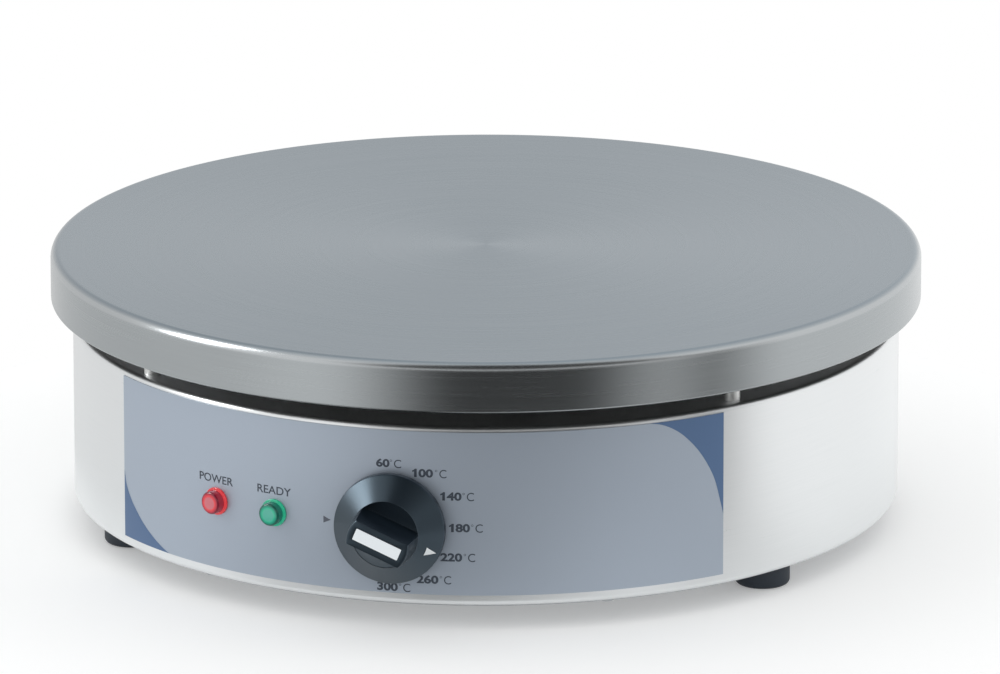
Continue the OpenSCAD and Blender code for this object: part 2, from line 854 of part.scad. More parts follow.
module post_nuts() {
    washer_z = deck_z - sheet - post_washer_t;
    color(c_zinc) for (a = post_angles) at_angle(a, post_orbit) {
        translate([0, 0, washer_z])
            ring(post_washer_r, post_stud_r + slip, post_washer_t);
        translate([0, 0, washer_z - post_nut_h])
            hex_nut(nut_corner_share * post_stud_d, post_stud_r + slip, post_nut_h);
    }
}

// ---- Body ----

module body_shell() {
    color(c_steel) difference() {
        drum_solid(body_r, body_z, deck_z, low_edge_r, shoulder_r);
        drum_solid(wall_r, body_z + sheet, deck_z - sheet,
            low_edge_r - sheet, shoulder_r - sheet);
        translate([0, 0, body_z - cut]) cylinder(r = return_r, h = sheet + 2 * cut);
        for (a = base_screw_angles)
            at_angle(a, base_screw_orbit) translate([0, 0, body_z - cut])
                cylinder(r = base_screw_r, h = sheet + 2 * cut);
        for (a = post_angles)
            at_angle(a, post_orbit) translate([0, 0, deck_z - sheet - cut])
                cylinder(r = post_stud_r + loose, h = sheet + 2 * cut);
        element_ends() translate([0, 0, deck_z - sheet - cut])
            cylinder(r = bead_r + slip, h = sheet + 2 * cut);
        capillary_places() translate([0, 0, deck_z - sheet - cut])
            cylinder(r = capillary_hole_r, h = sheet + 2 * cut);
        panel_holes(-sheet - cut, sheet + 2 * cut);
        on_wall(180, gland_z) translate([0, 0, -sheet - cut])
            cylinder(r = gland_r + loose, h = sheet + 2 * cut);
    }
}

// Holes shared by the drum's wall and the panel film
module panel_holes(start, l) {
    on_wall(0, control_z) translate([0, 0, start]) {
        cylinder(r = shaft_hole_r, h = l);
        for (side = [-1, 1]) translate([side * thermostat_screw_x, 0, 0])
            cylinder(r = thermostat_screw_r + loose, h = l);
    }
    for (a = [red_angle, green_angle])
        on_wall(a, control_z) translate([0, 0, start]) cylinder(r = lamp_hole_r, h = l);
}

module base_plate() {
    color(c_zinc) translate([0, 0, base_z]) difference() {
        cylinder(r = base_r, h = base_sheet);
        translate([0, 0, -cut]) {
            for (a = base_screw_angles) at_angle(a, base_screw_orbit)
                cylinder(r = base_screw_r + loose, h = base_sheet + 2 * cut);
            for (a = foot_angles) at_angle(a, foot_orbit)
                cylinder(r = foot_screw_r + loose, h = base_sheet + 2 * cut);
            translate([limiter_x, limiter_y, 0])
                cylinder(r = bushing_r + slip, h = base_sheet + 2 * cut);
            translate([earth_x, earth_y, 0])
                cylinder(r = earth_r + loose, h = base_sheet + 2 * cut);
            for (side = [-1, 1], i = [0 : vent_count - 1])
                vent_slot(side * (vent_l / 2 + vent_apart), -vent_y - i * vent_pitch);
        }
    }
}

module vent_slot(x, y) {
    h = base_sheet + 2 * cut;
    translate([x - vent_l / 2, y - vent_w / 2, 0]) cube([vent_l, vent_w, h]);
    for (side = [-1, 1])
        translate([x + side * vent_l / 2, y, 0]) cylinder(r = vent_w / 2, h = h);
}

module base_screws() {
    color(c_zinc) for (a = base_screw_angles) at_angle(a, base_screw_orbit) {
        translate([0, 0, base_z - base_screw_head_h])
            cylinder(r = base_screw_head_r, h = base_screw_head_h);
        translate([0, 0, base_z])
            cylinder(r = base_screw_r - slip, h = base_sheet + sheet + base_screw_tail);
    }
}

module control_panel() {
    color(c_panel) difference() {
        wall_sheet(-panel_half_angle, panel_half_angle, body_z + panel_low, panel_h, film);
        panel_holes(-cut, film_face + 2 * cut);
    }
}

module rear_plate() {
    color(c_bright) wall_sheet(rear_plate_angle - rear_plate_span_angle / 2,
        rear_plate_angle + rear_plate_span_angle / 2, body_z + rear_plate_low, rear_plate_h,
        rear_plate_t);
}

// ---- Thermostat and knob ----

module d_shaft(r, flat, z0, z1) {
    difference() {
        translate([0, 0, z0]) cylinder(r = r, h = z1 - z0);
        translate([-2 * r, flat, knob_back]) cube([4 * r, 2 * r, z1 - knob_back + cut]);
    }
}

module knob_outline() {
    polygon(concat(
        [[0, knob_back], [knob_r - knob_bevel, knob_back], [knob_r, knob_back + knob_bevel],
         [knob_r, knob_rim - knob_bevel], [knob_r - knob_bevel, knob_rim],
         [hub_base_r, knob_cone_z]],
        arc_points(hub_face_r - knob_edge_r, knob_face - knob_edge_r, knob_edge_r, 0, 90, 5),
        [[0, knob_face]]
    ));
}

module thermostat_knob() {
    color(c_black) on_wall(0, control_z) rotate([0, 0, -knob_rest]) difference() {
        rotate_extrude() knob_outline();
        for (side = [0, 180]) rotate([0, 0, side]) intersection() {
            translate([0, 0, knob_floor]) cylinder(r = hub_base_r + slip, h = knob_face);
            translate([-knob_r, bar_w / 2, knob_floor]) cube([knob_d, knob_r, knob_face]);
        }
        rotate_extrude() polygon([
            [knob_boss_r, knob_back - cut], [knob_r - knob_wall, knob_back - cut],
            [knob_r - knob_wall, knob_rim - knob_front_wall],
            [hub_base_r + knob_cone_inset, knob_floor - knob_wall],
            [knob_boss_r, knob_floor - knob_wall]
        ]);
        d_shaft(shaft_r + slip, shaft_flat + slip, knob_back - cut, shaft_in_knob + slip);
        translate([0, 0, knob_face + insert_proud - insert_t - slip])
            linear_extrude(height = insert_t + cut)
                rounded_bar(insert_l + 2 * slip, insert_w + 2 * slip, insert_corner_r);
    }
}

module knob_insert() {
    color(c_white) on_wall(0, control_z) rotate([0, 0, -knob_rest])
        translate([0, 0, knob_face + insert_proud - insert_t])
            linear_extrude(height = insert_t) rounded_bar(insert_l, insert_w, insert_corner_r);
}

module thermostat_shaft() {
    color(c_bright) on_wall(0, control_z) rotate([0, 0, -knob_rest])
        d_shaft(shaft_r, shaft_flat, thermostat_face - shaft_depth, shaft_in_knob);
}

module thermostat_body() {
    color(c_ceramic) on_wall(0, control_z) difference() {
        translate([-thermostat_w / 2, -thermostat_h / 2, thermostat_face - thermostat_l])
            cube([thermostat_w, thermostat_h, thermostat_l]);
        translate([0, 0, thermostat_face - shaft_depth - slip])
            cylinder(r = shaft_r + slip, h = shaft_depth + cut);
        for (side = [-1, 1])
            translate([side * thermostat_screw_x, 0, thermostat_face - thermostat_screw_bite])
                cylinder(r = thermostat_screw_r + slip, h = thermostat_screw_bite + cut);
    }
}

module thermostat_bracket() {
    color(c_zinc) on_wall(0, control_z) difference() {
        translate([-bracket_w / 2, -bracket_h / 2, bracket_face - bracket_t])
            cube([bracket_w, bracket_h, bracket_t]);
        translate([0, 0, bracket_face - bracket_t - cut]) {
            cylinder(r = shaft_hole_r, h = bracket_t + 2 * cut);
            for (side = [-1, 1]) translate([side * thermostat_screw_x, 0, 0])
                cylinder(r = thermostat_screw_r + loose, h = bracket_t + 2 * cut);
        }
    }
}

module thermostat_screws() {
    low = thermostat_face - thermostat_screw_bite + blind_gap;
    color(c_zinc) on_wall(0, control_z) for (side = [-1, 1])
        translate([side * thermostat_screw_x, 0, 0]) {
            translate([0, 0, low])
                cylinder(r = thermostat_screw_r, h = thermostat_screw_seat - low);
            translate([0, 0, thermostat_screw_seat])
                cylinder(r = thermostat_screw_head_r, h = thermostat_screw_head_h);
        }
}

// ---- Pilot lights ----

module lens(angle, tint) {
    dome_r = lens_d / 2;
    inner_r = lens_neck_r - lens_wall;
    color(tint) on_wall(angle, control_z) difference() {
        union() {
            translate([0, 0, lens_seat]) cylinder(r = lens_flange_d / 2, h = lens_flange_t);
            translate([0, 0, -lens_neck_depth])
                cylinder(r = lens_neck_r, h = lens_neck_depth + lens_seat + lens_root);
            rotate_extrude() polygon(concat(
                [[0, lens_seat], [dome_r, lens_seat]],
                arc_points(dome_r - lens_dome_edge_r, lens_reach - lens_dome_edge_r,
                    lens_dome_edge_r, 0, 90, 5),
                [[0, lens_reach]]
            ));
        }
        translate([0, 0, -lens_neck_depth - cut])
            cylinder(r = inner_r, h = lens_neck_depth + cut + lens_reach - lens_front_wall);
    }
}

module lamp_holder(angle) {
    color(c_black) on_wall(angle, control_z) difference() {
        translate([0, 0, holder_face - holder_l]) cylinder(r = holder_r, h = holder_l);
        translate([0, 0, -lens_neck_depth - slip])
            cylinder(r = lens_neck_r + slip, h = lens_neck_depth);
    }
}

module neon(angle) {
    color(c_bright) on_wall(angle, control_z) translate([0, 0, -lens_neck_depth - slip])
        cylinder(r = neon_r, h = neon_l);
}

module red_lens() { lens(red_angle, c_red); }
module green_lens() { lens(green_angle, c_green); }
module red_lamp_holder() { lamp_holder(red_angle); }
module green_lamp_holder() { lamp_holder(green_angle); }
module red_neon() { neon(red_angle); }
module green_neon() { neon(green_angle); }

module lamp_retainers() {
    color(c_zinc) for (a = [red_angle, green_angle]) on_wall(a, control_z)
        translate([0, 0, retainer_face - retainer_t])
            ring(retainer_r, lens_neck_r + slip, retainer_t);
}

// ---- Overheat limiter and its reset button ----

module at_limiter() {
    translate([limiter_x, limiter_y, 0]) children();
}

module limiter_body() {
    color(c_black) at_limiter() translate([-limiter_w / 2, -limiter_w / 2, bushing_top])
        cube([limiter_w, limiter_w, limiter_l]);
}

module limiter_bushing() {
    color(c_zinc) at_limiter() difference() {
        union() {
            translate([0, 0, base_z - bushing_below])
                cylinder(r = bushing_r, h = bushing_top - base_z + bushing_below);
            translate([0, 0, body_z]) cylinder(r = bushing_flange_r, h = bushing_flange_t);
        }
        translate([0, 0, base_z - bushing_below - cut])
            cylinder(r = button_r + slip, h = bushing_top);
        translate([0, 0, button_guide_top])
            cylinder(r = button_chamber_r, h = bushing_top);
    }
}

module limiter_nut() {
    color(c_zinc) at_limiter() translate([0, 0, base_z - limiter_nut_h])
        hex_nut(limiter_nut_r, bushing_r + slip, limiter_nut_h);
}

module reset_button() {
    tip_z = base_z - bushing_below - button_reach;
    collar_z = button_guide_top + button_collar_gap;
    tail_top = bushing_top - reset_travel - blind_gap;
    color(c_red) at_limiter() {
        translate([0, 0, tip_z]) cylinder(r = button_r, h = collar_z - tip_z);
        translate([0, 0, collar_z]) cylinder(r = button_collar_r, h = button_collar_t);
        translate([0, 0, collar_z]) cylinder(r = button_tail_r, h = tail_top - collar_z);
    }
}

module reset_spring() {
    z0 = button_guide_top + button_collar_gap + button_collar_t + spring_wire_r;
    z1 = bushing_top - spring_wire_r;
    steps = spring_turn_steps * spring_turns;
    color(c_bright) at_limiter() tube_along([
        for (i = [0 : steps]) let (a = 360 * spring_turns * i / steps)
            [spring_r * cos(a), spring_r * sin(a), z0 + (z1 - z0) * i / steps]
    ], spring_wire_r, spring_sides);
}

// ---- Supply ----

// Section of the cap nut's domed end, from its hexagon to its mouth
module gland_dome_profile() {
    start = gland_neck_end;
    side_r = gland_hex_r * cos(30);
    inset = side_r - gland_bore_r - gland_lip;
    rise = gland_reach - start;
    dome_r = (inset * inset + rise * rise) / (2 * inset);
    polygon(concat(
        [[gland_bore_r - cut, start]],
        arc_points(side_r - dome_r, start, dome_r, 0, asin(rise / dome_r), 7),
        [[gland_bore_r - cut, gland_reach]]
    ));
}

module gland_body() {
    color(c_black) on_wall(180, gland_z) difference() {
        union() {
            translate([0, 0, -gland_tail])
                cylinder(r = gland_r, h = gland_tail + 2 * gland_washer_t);
            translate([0, 0, gland_washer_t])
                cylinder(r = gland_hex_r, h = gland_flange_t, $fn = 6);
            translate([0, 0, gland_washer_t])
                cylinder(r = gland_neck_r, h = gland_flange_t + gland_neck_l - blind_gap);
        }
        translate([0, 0, -gland_tail - cut])
            cylinder(r = gland_bore_r, h = gland_tail + gland_reach + cut);
        translate([0, 0, seal_start - slip]) cylinder(r = seal_r + slip, h = gland_reach);
    }
}

module gland_washer() {
    color(c_black) on_wall(180, gland_z) translate([0, 0, slip])
        ring(gland_hex_r - gland_washer_inset, gland_r + slip, gland_washer_t - slip);
}

module gland_seal() {
    color(c_black) on_wall(180, gland_z) translate([0, 0, seal_start])
        ring(seal_r, cable_bore_r, seal_end - seal_start);
}

module gland_cap() {
    start = gland_washer_t + gland_flange_t + slip;
    color(c_black) on_wall(180, gland_z) difference() {
        union() {
            translate([0, 0, start])
                cylinder(r = gland_hex_r, h = gland_neck_end - start, $fn = 6);
            rotate_extrude() gland_dome_profile();
        }
        translate([0, 0, start - cut])
            cylinder(r = gland_neck_r + slip, h = gland_neck_end - blind_gap + slip - start + cut);
        translate([0, 0, start - cut])
            cylinder(r = seal_r + slip, h = seal_end + slip - start + cut);
        translate([0, 0, start - cut]) cylinder(r = gland_bore_r, h = gland_reach + cut);
    }
}

module gland_locknut() {
    color(c_black) on_wall(180, gland_z) translate([0, 0, locknut_face - locknut_t])
        hex_nut(gland_hex_r, gland_r + slip, locknut_t);
}

module terminal_block() {
    color(c_white) translate([block_x, block_y, body_z]) difference() {
        translate([-block_w / 2, -block_d / 2, 0]) cube([block_w, block_d, block_hgt]);
        for (i = [-1, 0, 1]) {
            translate([i * block_pitch, -block_d / 2 - cut, block_hgt / 2]) rotate([-90, 0, 0])
                cylinder(r = block_wire_r, h = block_d + 2 * cut);
            for (side = [-1, 1])
                translate([i * block_pitch, side * block_screw_y, block_hgt / 2])
                    cylinder(r = block_screw_r + slip, h = block_hgt);
        }
    }
}

module terminal_screws() {
    color(c_bright) translate([block_x, block_y, body_z + block_hgt / 2 + block_screw_up])
        for (i = [-1, 0, 1], side = [-1, 1])
            translate([i * block_pitch, side * block_screw_y, 0])
                cylinder(r = block_screw_r,
                    h = block_hgt / 2 - block_screw_up - block_screw_sunk);
}

module earth_bolt() {
    color(c_bright) translate([earth_x, earth_y, 0]) {
        translate([0, 0, base_z - earth_head_h])
            cylinder(r = earth_hex_r, h = earth_head_h, $fn = 6);
        translate([0, 0, base_z]) cylinder(r = earth_r, h = base_sheet + earth_tail);
        translate([0, 0, body_z])
            ring(earth_washer_r, earth_r + slip, earth_washer_t);
        translate([0, 0, body_z + earth_washer_t])
            hex_nut(earth_hex_r, earth_r + slip, earth_nut_h);
    }
}

// ---- Feet ----

module foot(i) {
    color(c_black) at_angle(foot_angles[i], foot_orbit) difference() {
        rotate_extrude() {
            square([foot_d / 2 - foot_edge_r, foot_h]);
            translate([0, foot_edge_r]) square([foot_d / 2, foot_h - foot_edge_r]);
            translate([foot_d / 2 - foot_edge_r, foot_edge_r]) circle(foot_edge_r);
        }
        translate([0, 0, -cut]) cylinder(r = foot_recess_r, h = foot_recess_h + cut);
        translate([0, 0, -cut]) cylinder(r = foot_screw_r + slip, h = foot_h + 2 * cut);
    }
}

module foot_front_left() { foot(0); }
module foot_front_right() { foot(1); }
module foot_rear() { foot(2); }

module foot_screws() {
    color(c_zinc) for (a = foot_angles) at_angle(a, foot_orbit) {
        translate([0, 0, foot_recess_h - foot_head_h]) cylinder(r = foot_head_r, h = foot_head_h);
        translate([0, 0, foot_recess_h])
            cylinder(r = foot_screw_r,
                h = body_z + foot_washer_t + foot_nut_h + foot_screw_tail - foot_recess_h);
    }
}

module foot_nuts() {
    color(c_zinc) for (a = foot_angles) at_angle(a, foot_orbit) translate([0, 0, body_z]) {
        ring(foot_washer_r, foot_screw_r + slip, foot_washer_t);
        translate([0, 0, foot_washer_t])
            hex_nut(nut_corner_share * 2 * foot_screw_r, foot_screw_r + slip, foot_nut_h);
    }
}

// ---- Wiring ----

// End of the element's terminal pin
function pin_end(loop_r, angle, side) =
    polar_point(loop_r, rear_angle + angle, side * element_bend, leg_low_z - pin_l);

outer_pin = pin_end(outer_loop_r, element_gap_angle, -1);
inner_pin = pin_end(inner_loop_r, -element_gap_angle, 1);

block_front = [block_x, block_y - block_d / 2, body_z + block_hgt / 2];
earth_top = [earth_x, earth_y, body_z + earth_tail];
limiter_top = [limiter_x, limiter_y, bushing_top + limiter_l];
thermostat_back = [0, -body_r - thermostat_face + thermostat_l, control_z];

// Live and neutral to the limiter and the element, and the earth wire
module supply_wires() {
    live = block_front - [block_pitch, 0, 0];
    earth = block_front + [block_pitch, 0, 0];
    limiter = limiter_top + [limiter_pin_out, 0, 0];
    color(c_brown) wire([
        live, live - [0, wire_stub, 0], inside(0, 0.32, 0.15), inside(-0.16, 0.27, 0.24),
        limiter + [wire_bow, -wire_bow, wire_stub], limiter + [0, 0, wire_stub], limiter
    ], wire_r);
    color(c_blue) wire([
        block_front, block_front - [0, wire_stub, 0], inside(0.18, 0.39, 0.31),
        inner_pin + [wire_bow, -wire_stub, -wire_bow], inner_pin - [0, 0, wire_stub],
        inner_pin
    ], wire_r);
    color(c_earth) wire([
        earth, earth - [0, wire_stub, 0], inside(0.46, 0.37, 0.17),
        earth_top + [-wire_bow, 0, wire_stub / 2], earth_top + [0, 0, wire_stub], earth_top
    ], wire_r);
}

// Limiter to thermostat, thermostat to the element, and the pilot lights' leads
module control_wires() {
    limiter = limiter_top - [limiter_pin_out, 0, 0];
    lower = thermostat_back - [thermostat_pin_x, 0, thermostat_pin_down];
    upper = thermostat_back + [-thermostat_pin_x, 0, thermostat_pin_up];
    color(c_brown) wire([
        limiter, limiter + [0, 0, wire_stub], inside(-0.51, 0.21, 0.48),
        inside(-0.37, -0.32, 0.34), lower + [-wire_bow, 2 * wire_bow, 0],
        lower + [0, wire_stub, 0], lower
    ], wire_r);
    color(c_black) wire([
        upper, upper + [0, wire_stub, 0], inside(-0.21, -0.48, 0.61),
        inside(-0.32, 0.11, 0.65), outer_pin - [wire_stub, 2 * wire_bow, wire_bow],
        outer_pin - [0, 0, wire_stub], outer_pin
    ], wire_r);
    lamp_angles = [green_angle, red_angle];
    back = body_r + holder_face - holder_l;
    for (i = [0, 1]) {
        out = [sin(lamp_angles[i]), -cos(lamp_angles[i]), 0];
        end = thermostat_back - [(i + 1) * lamp_wire_pitch, 0, lamp_wire_down];
        color(c_blue) wire([
            out * back + [0, 0, control_z], out * (back - wire_stub) + [0, 0, control_z],
            out * (back - 2 * wire_bow) + [0, 0, control_z - lamp_wire_down],
            end + [-wire_bow, wire_bow, 0], end + [0, wire_stub, 0], end
        ], lamp_wire_r);
    }
}

griddle_plate();
heating_element();
element_terminals();
element_insulators();
element_clamp();
insulation_pad();
heat_shield();
clamp_studs();
clamp_nuts();
shield_nuts();
bulb_clip();
bulb_clip_screw();
thermostat_bulb();
limiter_bulb();
thermostat_capillary();
limiter_capillary();
post_front_left();
post_front_right();
post_rear_left();
post_rear_right();
post_studs();
post_nuts();
body_shell();
base_plate();
base_screws();
control_panel();
thermostat_knob();
knob_insert();
thermostat_shaft();
thermostat_body();
thermostat_bracket();
thermostat_screws();
red_lens();
red_lamp_holder();
red_neon();
green_lens();
green_lamp_holder();
green_neon();
lamp_retainers();
limiter_body();
limiter_bushing();
limiter_nut();
reset_button();
reset_spring();
terminal_block();
terminal_screws();
earth_bolt();
gland_body();
gland_washer();
gland_seal();
gland_cap();
gland_locknut();
foot_front_left();
foot_front_right();
foot_rear();
foot_screws();
foot_nuts();
supply_wires();
control_wires();
rear_plate();
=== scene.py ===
"""Looks of a countertop electric crepe maker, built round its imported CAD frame.

Lengths in the classes below are millimetres; objects are in metres. The front faces -Y,
and angles on the drum turn from the front towards +X.
"""

import logging
import math
from dataclasses import dataclass
from enum import Enum
from functools import partial
from typing import Any, Sequence

import bmesh
import bpy
from mathutils import Matrix, Vector

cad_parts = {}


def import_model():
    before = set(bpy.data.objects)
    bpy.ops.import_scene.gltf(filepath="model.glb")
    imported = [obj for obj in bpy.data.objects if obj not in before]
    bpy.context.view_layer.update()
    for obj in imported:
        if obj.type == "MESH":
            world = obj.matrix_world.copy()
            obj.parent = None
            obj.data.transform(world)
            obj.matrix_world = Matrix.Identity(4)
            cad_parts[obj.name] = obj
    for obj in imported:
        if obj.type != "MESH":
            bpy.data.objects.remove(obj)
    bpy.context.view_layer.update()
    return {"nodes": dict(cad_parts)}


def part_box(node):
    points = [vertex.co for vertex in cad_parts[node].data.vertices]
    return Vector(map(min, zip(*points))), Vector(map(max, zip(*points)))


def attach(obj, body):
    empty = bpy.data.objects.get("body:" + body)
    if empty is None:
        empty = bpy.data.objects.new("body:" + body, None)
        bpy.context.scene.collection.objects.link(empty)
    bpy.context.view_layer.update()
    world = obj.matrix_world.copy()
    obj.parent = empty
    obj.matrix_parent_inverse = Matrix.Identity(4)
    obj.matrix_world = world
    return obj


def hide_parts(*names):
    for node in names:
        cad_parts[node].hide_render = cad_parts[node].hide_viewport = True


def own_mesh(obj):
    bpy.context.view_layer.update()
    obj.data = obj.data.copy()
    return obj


LOG = logging.getLogger("crepe_maker")
MM = 0.001
ACROSS_LINES = 0.25  # quarter turn, because fine lines spread light across themselves
Colour = tuple[float, float, float, float]
Point = tuple[float, float, float]
WHITE: Colour = (1.0, 1.0, 1.0, 1.0)


# ---- Nodes and finishes ----

def linear(code: str) -> Colour:
    """Turns an sRGB hex colour into linear RGBA.

    Args:
        code: Six hex digits.

    Returns:
        The linear colour with full opacity.
    """
    parts = [int(code[i:i + 2], 16) / 255 for i in (0, 2, 4)]
    r, g, b = (c / 12.92 if c <= 0.04045 else ((c + 0.055) / 1.055) ** 2.4 for c in parts)
    return (r, g, b, 1.0)


def add_node(tree: bpy.types.NodeTree, kind: str, inputs: dict[Any, Any] | None = None,
             **settings: Any) -> bpy.types.Node:
    """Adds a node with its settings, values and links.

    Args:
        tree: The tree that takes the node.
        kind: The node's type.
        inputs: Values, or nodes or sockets to link from, by input name or number.
        settings: Attributes of the node.

    Returns:
        The new node.
    """
    node = tree.nodes.new(kind)
    for name, value in settings.items():
        setattr(node, name, value)
    for key, value in (inputs or {}).items():
        if isinstance(value, bpy.types.Node):
            value = value.outputs[0]
        if isinstance(value, bpy.types.NodeSocket):
            tree.links.new(value, node.inputs[key])
        else:
            node.inputs[key].default_value = value
    return node


def bare_tree(owner: bpy.types.Material | bpy.types.World) -> bpy.types.NodeTree:
    """Gives a material or a world a node tree with nothing in it.

    Args:
        owner: The material or the world.

    Returns:
        The empty tree.
    """
    owner.use_nodes = True
    owner.node_tree.nodes.clear()
    return owner.node_tree


class Mark(Enum):
    """How a surface was worked, which decides its pattern."""

    TURNED = "turned on a lathe, rings about the upright axis"
    BRUSHED = "brushed along the drum, fine level lines"
    GRAIN = "fine grain of a mould or of a paint film"
    SPANGLE = "crystals of a plated or cast surface"
    FIBRE = "matted or braided fibres"
    DRAWN = "drawn through a die, long streaks"


STREAK = {Mark.TURNED: 100, Mark.BRUSHED: 60}  # length of a fine line in pitches
STRETCH = {Mark.FIBRE: (1.0, 0.25, 1.0), Mark.DRAWN: (1.0, 1.0, 0.1)}  # scale on each axis


@dataclass(frozen=True)
class Finish:
    """One real material and how its surface was made."""

    name: str
    colour: str
    shade: str
    mark: Mark
    pitch: float
    depth: float
    roughness: float
    spread: float = 0.06
    metallic: float = 0.0
    ior: float = 1.5
    anisotropic: float = 0.0
    transmission: float = 0.0
    # glow: painted glow, light given off by a part that is no lamp.
    glow: float = 0.0
    shine: str = "FFFFFF"

    def pattern(self, tree: bpy.types.NodeTree) -> bpy.types.NodeSocket:
        """Adds the surface pattern.

        Args:
            tree: The material's tree.

        Returns:
            A socket that runs from 0 to 1 over the pattern.
        """
        add = partial(add_node, tree)
        place = add("ShaderNodeTexCoord").outputs["Object"]
        scale = 1 / (self.pitch * MM)
        if self.mark is Mark.SPANGLE:
            return add("ShaderNodeTexVoronoi", {"Vector": place, "Scale": scale,
                                                "Randomness": 1.0}).outputs["Color"]
        if self.mark in STRETCH:
            place = add("ShaderNodeMapping", {"Vector": place, "Scale": STRETCH[self.mark]})
        if self.mark in STREAK:
            place, scale = self.streaks(tree, place, scale), 1.0
        return add("ShaderNodeTexNoise", {"Vector": place, "Scale": scale, "Detail": 3.0,
                                          "Roughness": 0.55}).outputs["Fac"]

    def streaks(self, tree: bpy.types.NodeTree, place: bpy.types.NodeSocket,
                scale: float) -> bpy.types.Node:
        """Draws the pattern out into fine lines round the Z axis.

        Args:
            tree: The material's tree.
            place: Position on the piece.
            scale: Lines for each metre across them.

        Returns:
            The node with the place in the pattern.
        """
        add = partial(add_node, tree)
        along = scale / STREAK[self.mark]
        level = add("ShaderNodeSeparateXYZ", {0: place}).outputs["Z"]
        flat = add("ShaderNodeVectorMath", {0: place, 1: (1, 1, 0)}, operation="MULTIPLY")
        out = add("ShaderNodeVectorMath", {0: flat}, operation="LENGTH").outputs["Value"]
        across = add("ShaderNodeMath", {0: out, 1: level})
        lines = add("ShaderNodeMath", {0: across, 1: scale}, operation="MULTIPLY")
        slow = add("ShaderNodeVectorMath", {0: flat, 1: (along, along, 0)}, operation="MULTIPLY")
        axes = add("ShaderNodeSeparateXYZ", {0: slow}).outputs
        return add("ShaderNodeCombineXYZ", {"X": axes["X"], "Y": axes["Y"], "Z": lines})

    def extra_colour(self, tree: bpy.types.NodeTree,
                     colour: bpy.types.NodeSocket) -> bpy.types.NodeSocket:
        """Gives a subclass the chance to change the colour. Returns the socket to use."""
        return colour

    def material(self) -> bpy.types.Material:
        """Builds the material once.

        Returns:
            The finished material.
        """
        made = bpy.data.materials.get(self.name)
        if made:
            return made
        made = bpy.data.materials.new(self.name)
        tree = bare_tree(made)
        add = partial(add_node, tree)
        fac = self.pattern(tree)
        mix = add("ShaderNodeMix", {0: fac, 6: linear(self.colour), 7: linear(self.shade)},
                  data_type="RGBA").outputs[2]
        rough = add("ShaderNodeMapRange", {
            "Value": fac, "To Min": max(self.roughness - self.spread, 0.0),
            "To Max": min(self.roughness + self.spread, 1.0)})
        bump = add("ShaderNodeBump", {"Strength": 1.0, "Distance": self.depth * MM, "Height": fac})
        values: dict[Any, Any] = {
            "Base Color": self.extra_colour(tree, mix), "Metallic": self.metallic,
            "Roughness": rough, "IOR": self.ior, "Anisotropic": self.anisotropic,
            "Transmission Weight": self.transmission, "Specular Tint": linear(self.shine),
            "Normal": bump}
        # Painted glow in the surface's own colour, though the part is no lamp.
        if self.glow:
            values["Emission Color"] = values["Base Color"]
            values["Emission Strength"] = self.glow
        if self.anisotropic:
            values["Tangent"] = self.round_tangent(tree)
            values["Anisotropic Rotation"] = ACROSS_LINES
        shader = add("ShaderNodeBsdfPrincipled", values)
        add("ShaderNodeOutputMaterial", {"Surface": shader})
        return made

    def round_tangent(self, tree: bpy.types.NodeTree) -> bpy.types.NodeSocket:
        """Adds the direction in which the surface was brushed or turned.

        Args:
            tree: The material's tree.

        Returns:
            The socket of a unit vector round the Z axis.
        """
        add = partial(add_node, tree)
        place = add("ShaderNodeTexCoord").outputs["Object"]
        turn = add("ShaderNodeVectorMath", {0: (0, 0, 1), 1: place}, operation="CROSS_PRODUCT")
        unit = add("ShaderNodeVectorMath", {0: turn}, operation="NORMALIZE")
        return unit.outputs[0]


@dataclass(frozen=True)
class PlateFinish(Finish):
    """Cast plate: its top burnt in, its rounded edge lighter with wear and a painted highlight, its
    underside dark as cast and with painted shade for the gap below it.
    """

    top: str = "848F97"
    # edge: lighter rounded edge, partly wear and partly a painted highlight.
    edge: str = "B8BCBE"
    # under: dark underside, partly as-cast scale and partly painted shade that darkens the gap
    # under the plate.
    under: str = "17191A"

    def extra_colour(self, tree: bpy.types.NodeTree,
                     colour: bpy.types.NodeSocket) -> bpy.types.NodeSocket:
        """Colours the edge with wear and a painted highlight, the top, and the underside with cast
        scale and painted shade, by where a face looks.

        Args:
            tree: The material's tree.
            colour: The colour of the turned side.

        Returns:
            The mixed colour.
        """
        add = partial(add_node, tree)
        facing = add("ShaderNodeSeparateXYZ", {0: add("ShaderNodeNewGeometry").outputs["Normal"]})
        # The edge mix is partly wear and partly a painted highlight; the underside mix is partly
        # cast scale and partly painted shade.
        for code, none, full in ((self.edge, 0.04, 0.25), (self.top, 0.6, 0.95),
                                 (self.under, -0.5, -0.9)):
            share = add("ShaderNodeMapRange", {"Value": facing.outputs["Z"], "From Min": none,
                                               "From Max": full})
            colour = add("ShaderNodeMix", {0: share, 6: colour, 7: linear(code)},
                         data_type="RGBA").outputs[2]
        return colour


class Guide(Enum):
    """What the colours of a ramp follow."""

    WIRE = "one colour for each wire"
    # On the lenses the WALL share also carries painted light: a pale face middle and a bright
    # flange.
    WALL = "thickness of the wall, kept on the mesh"


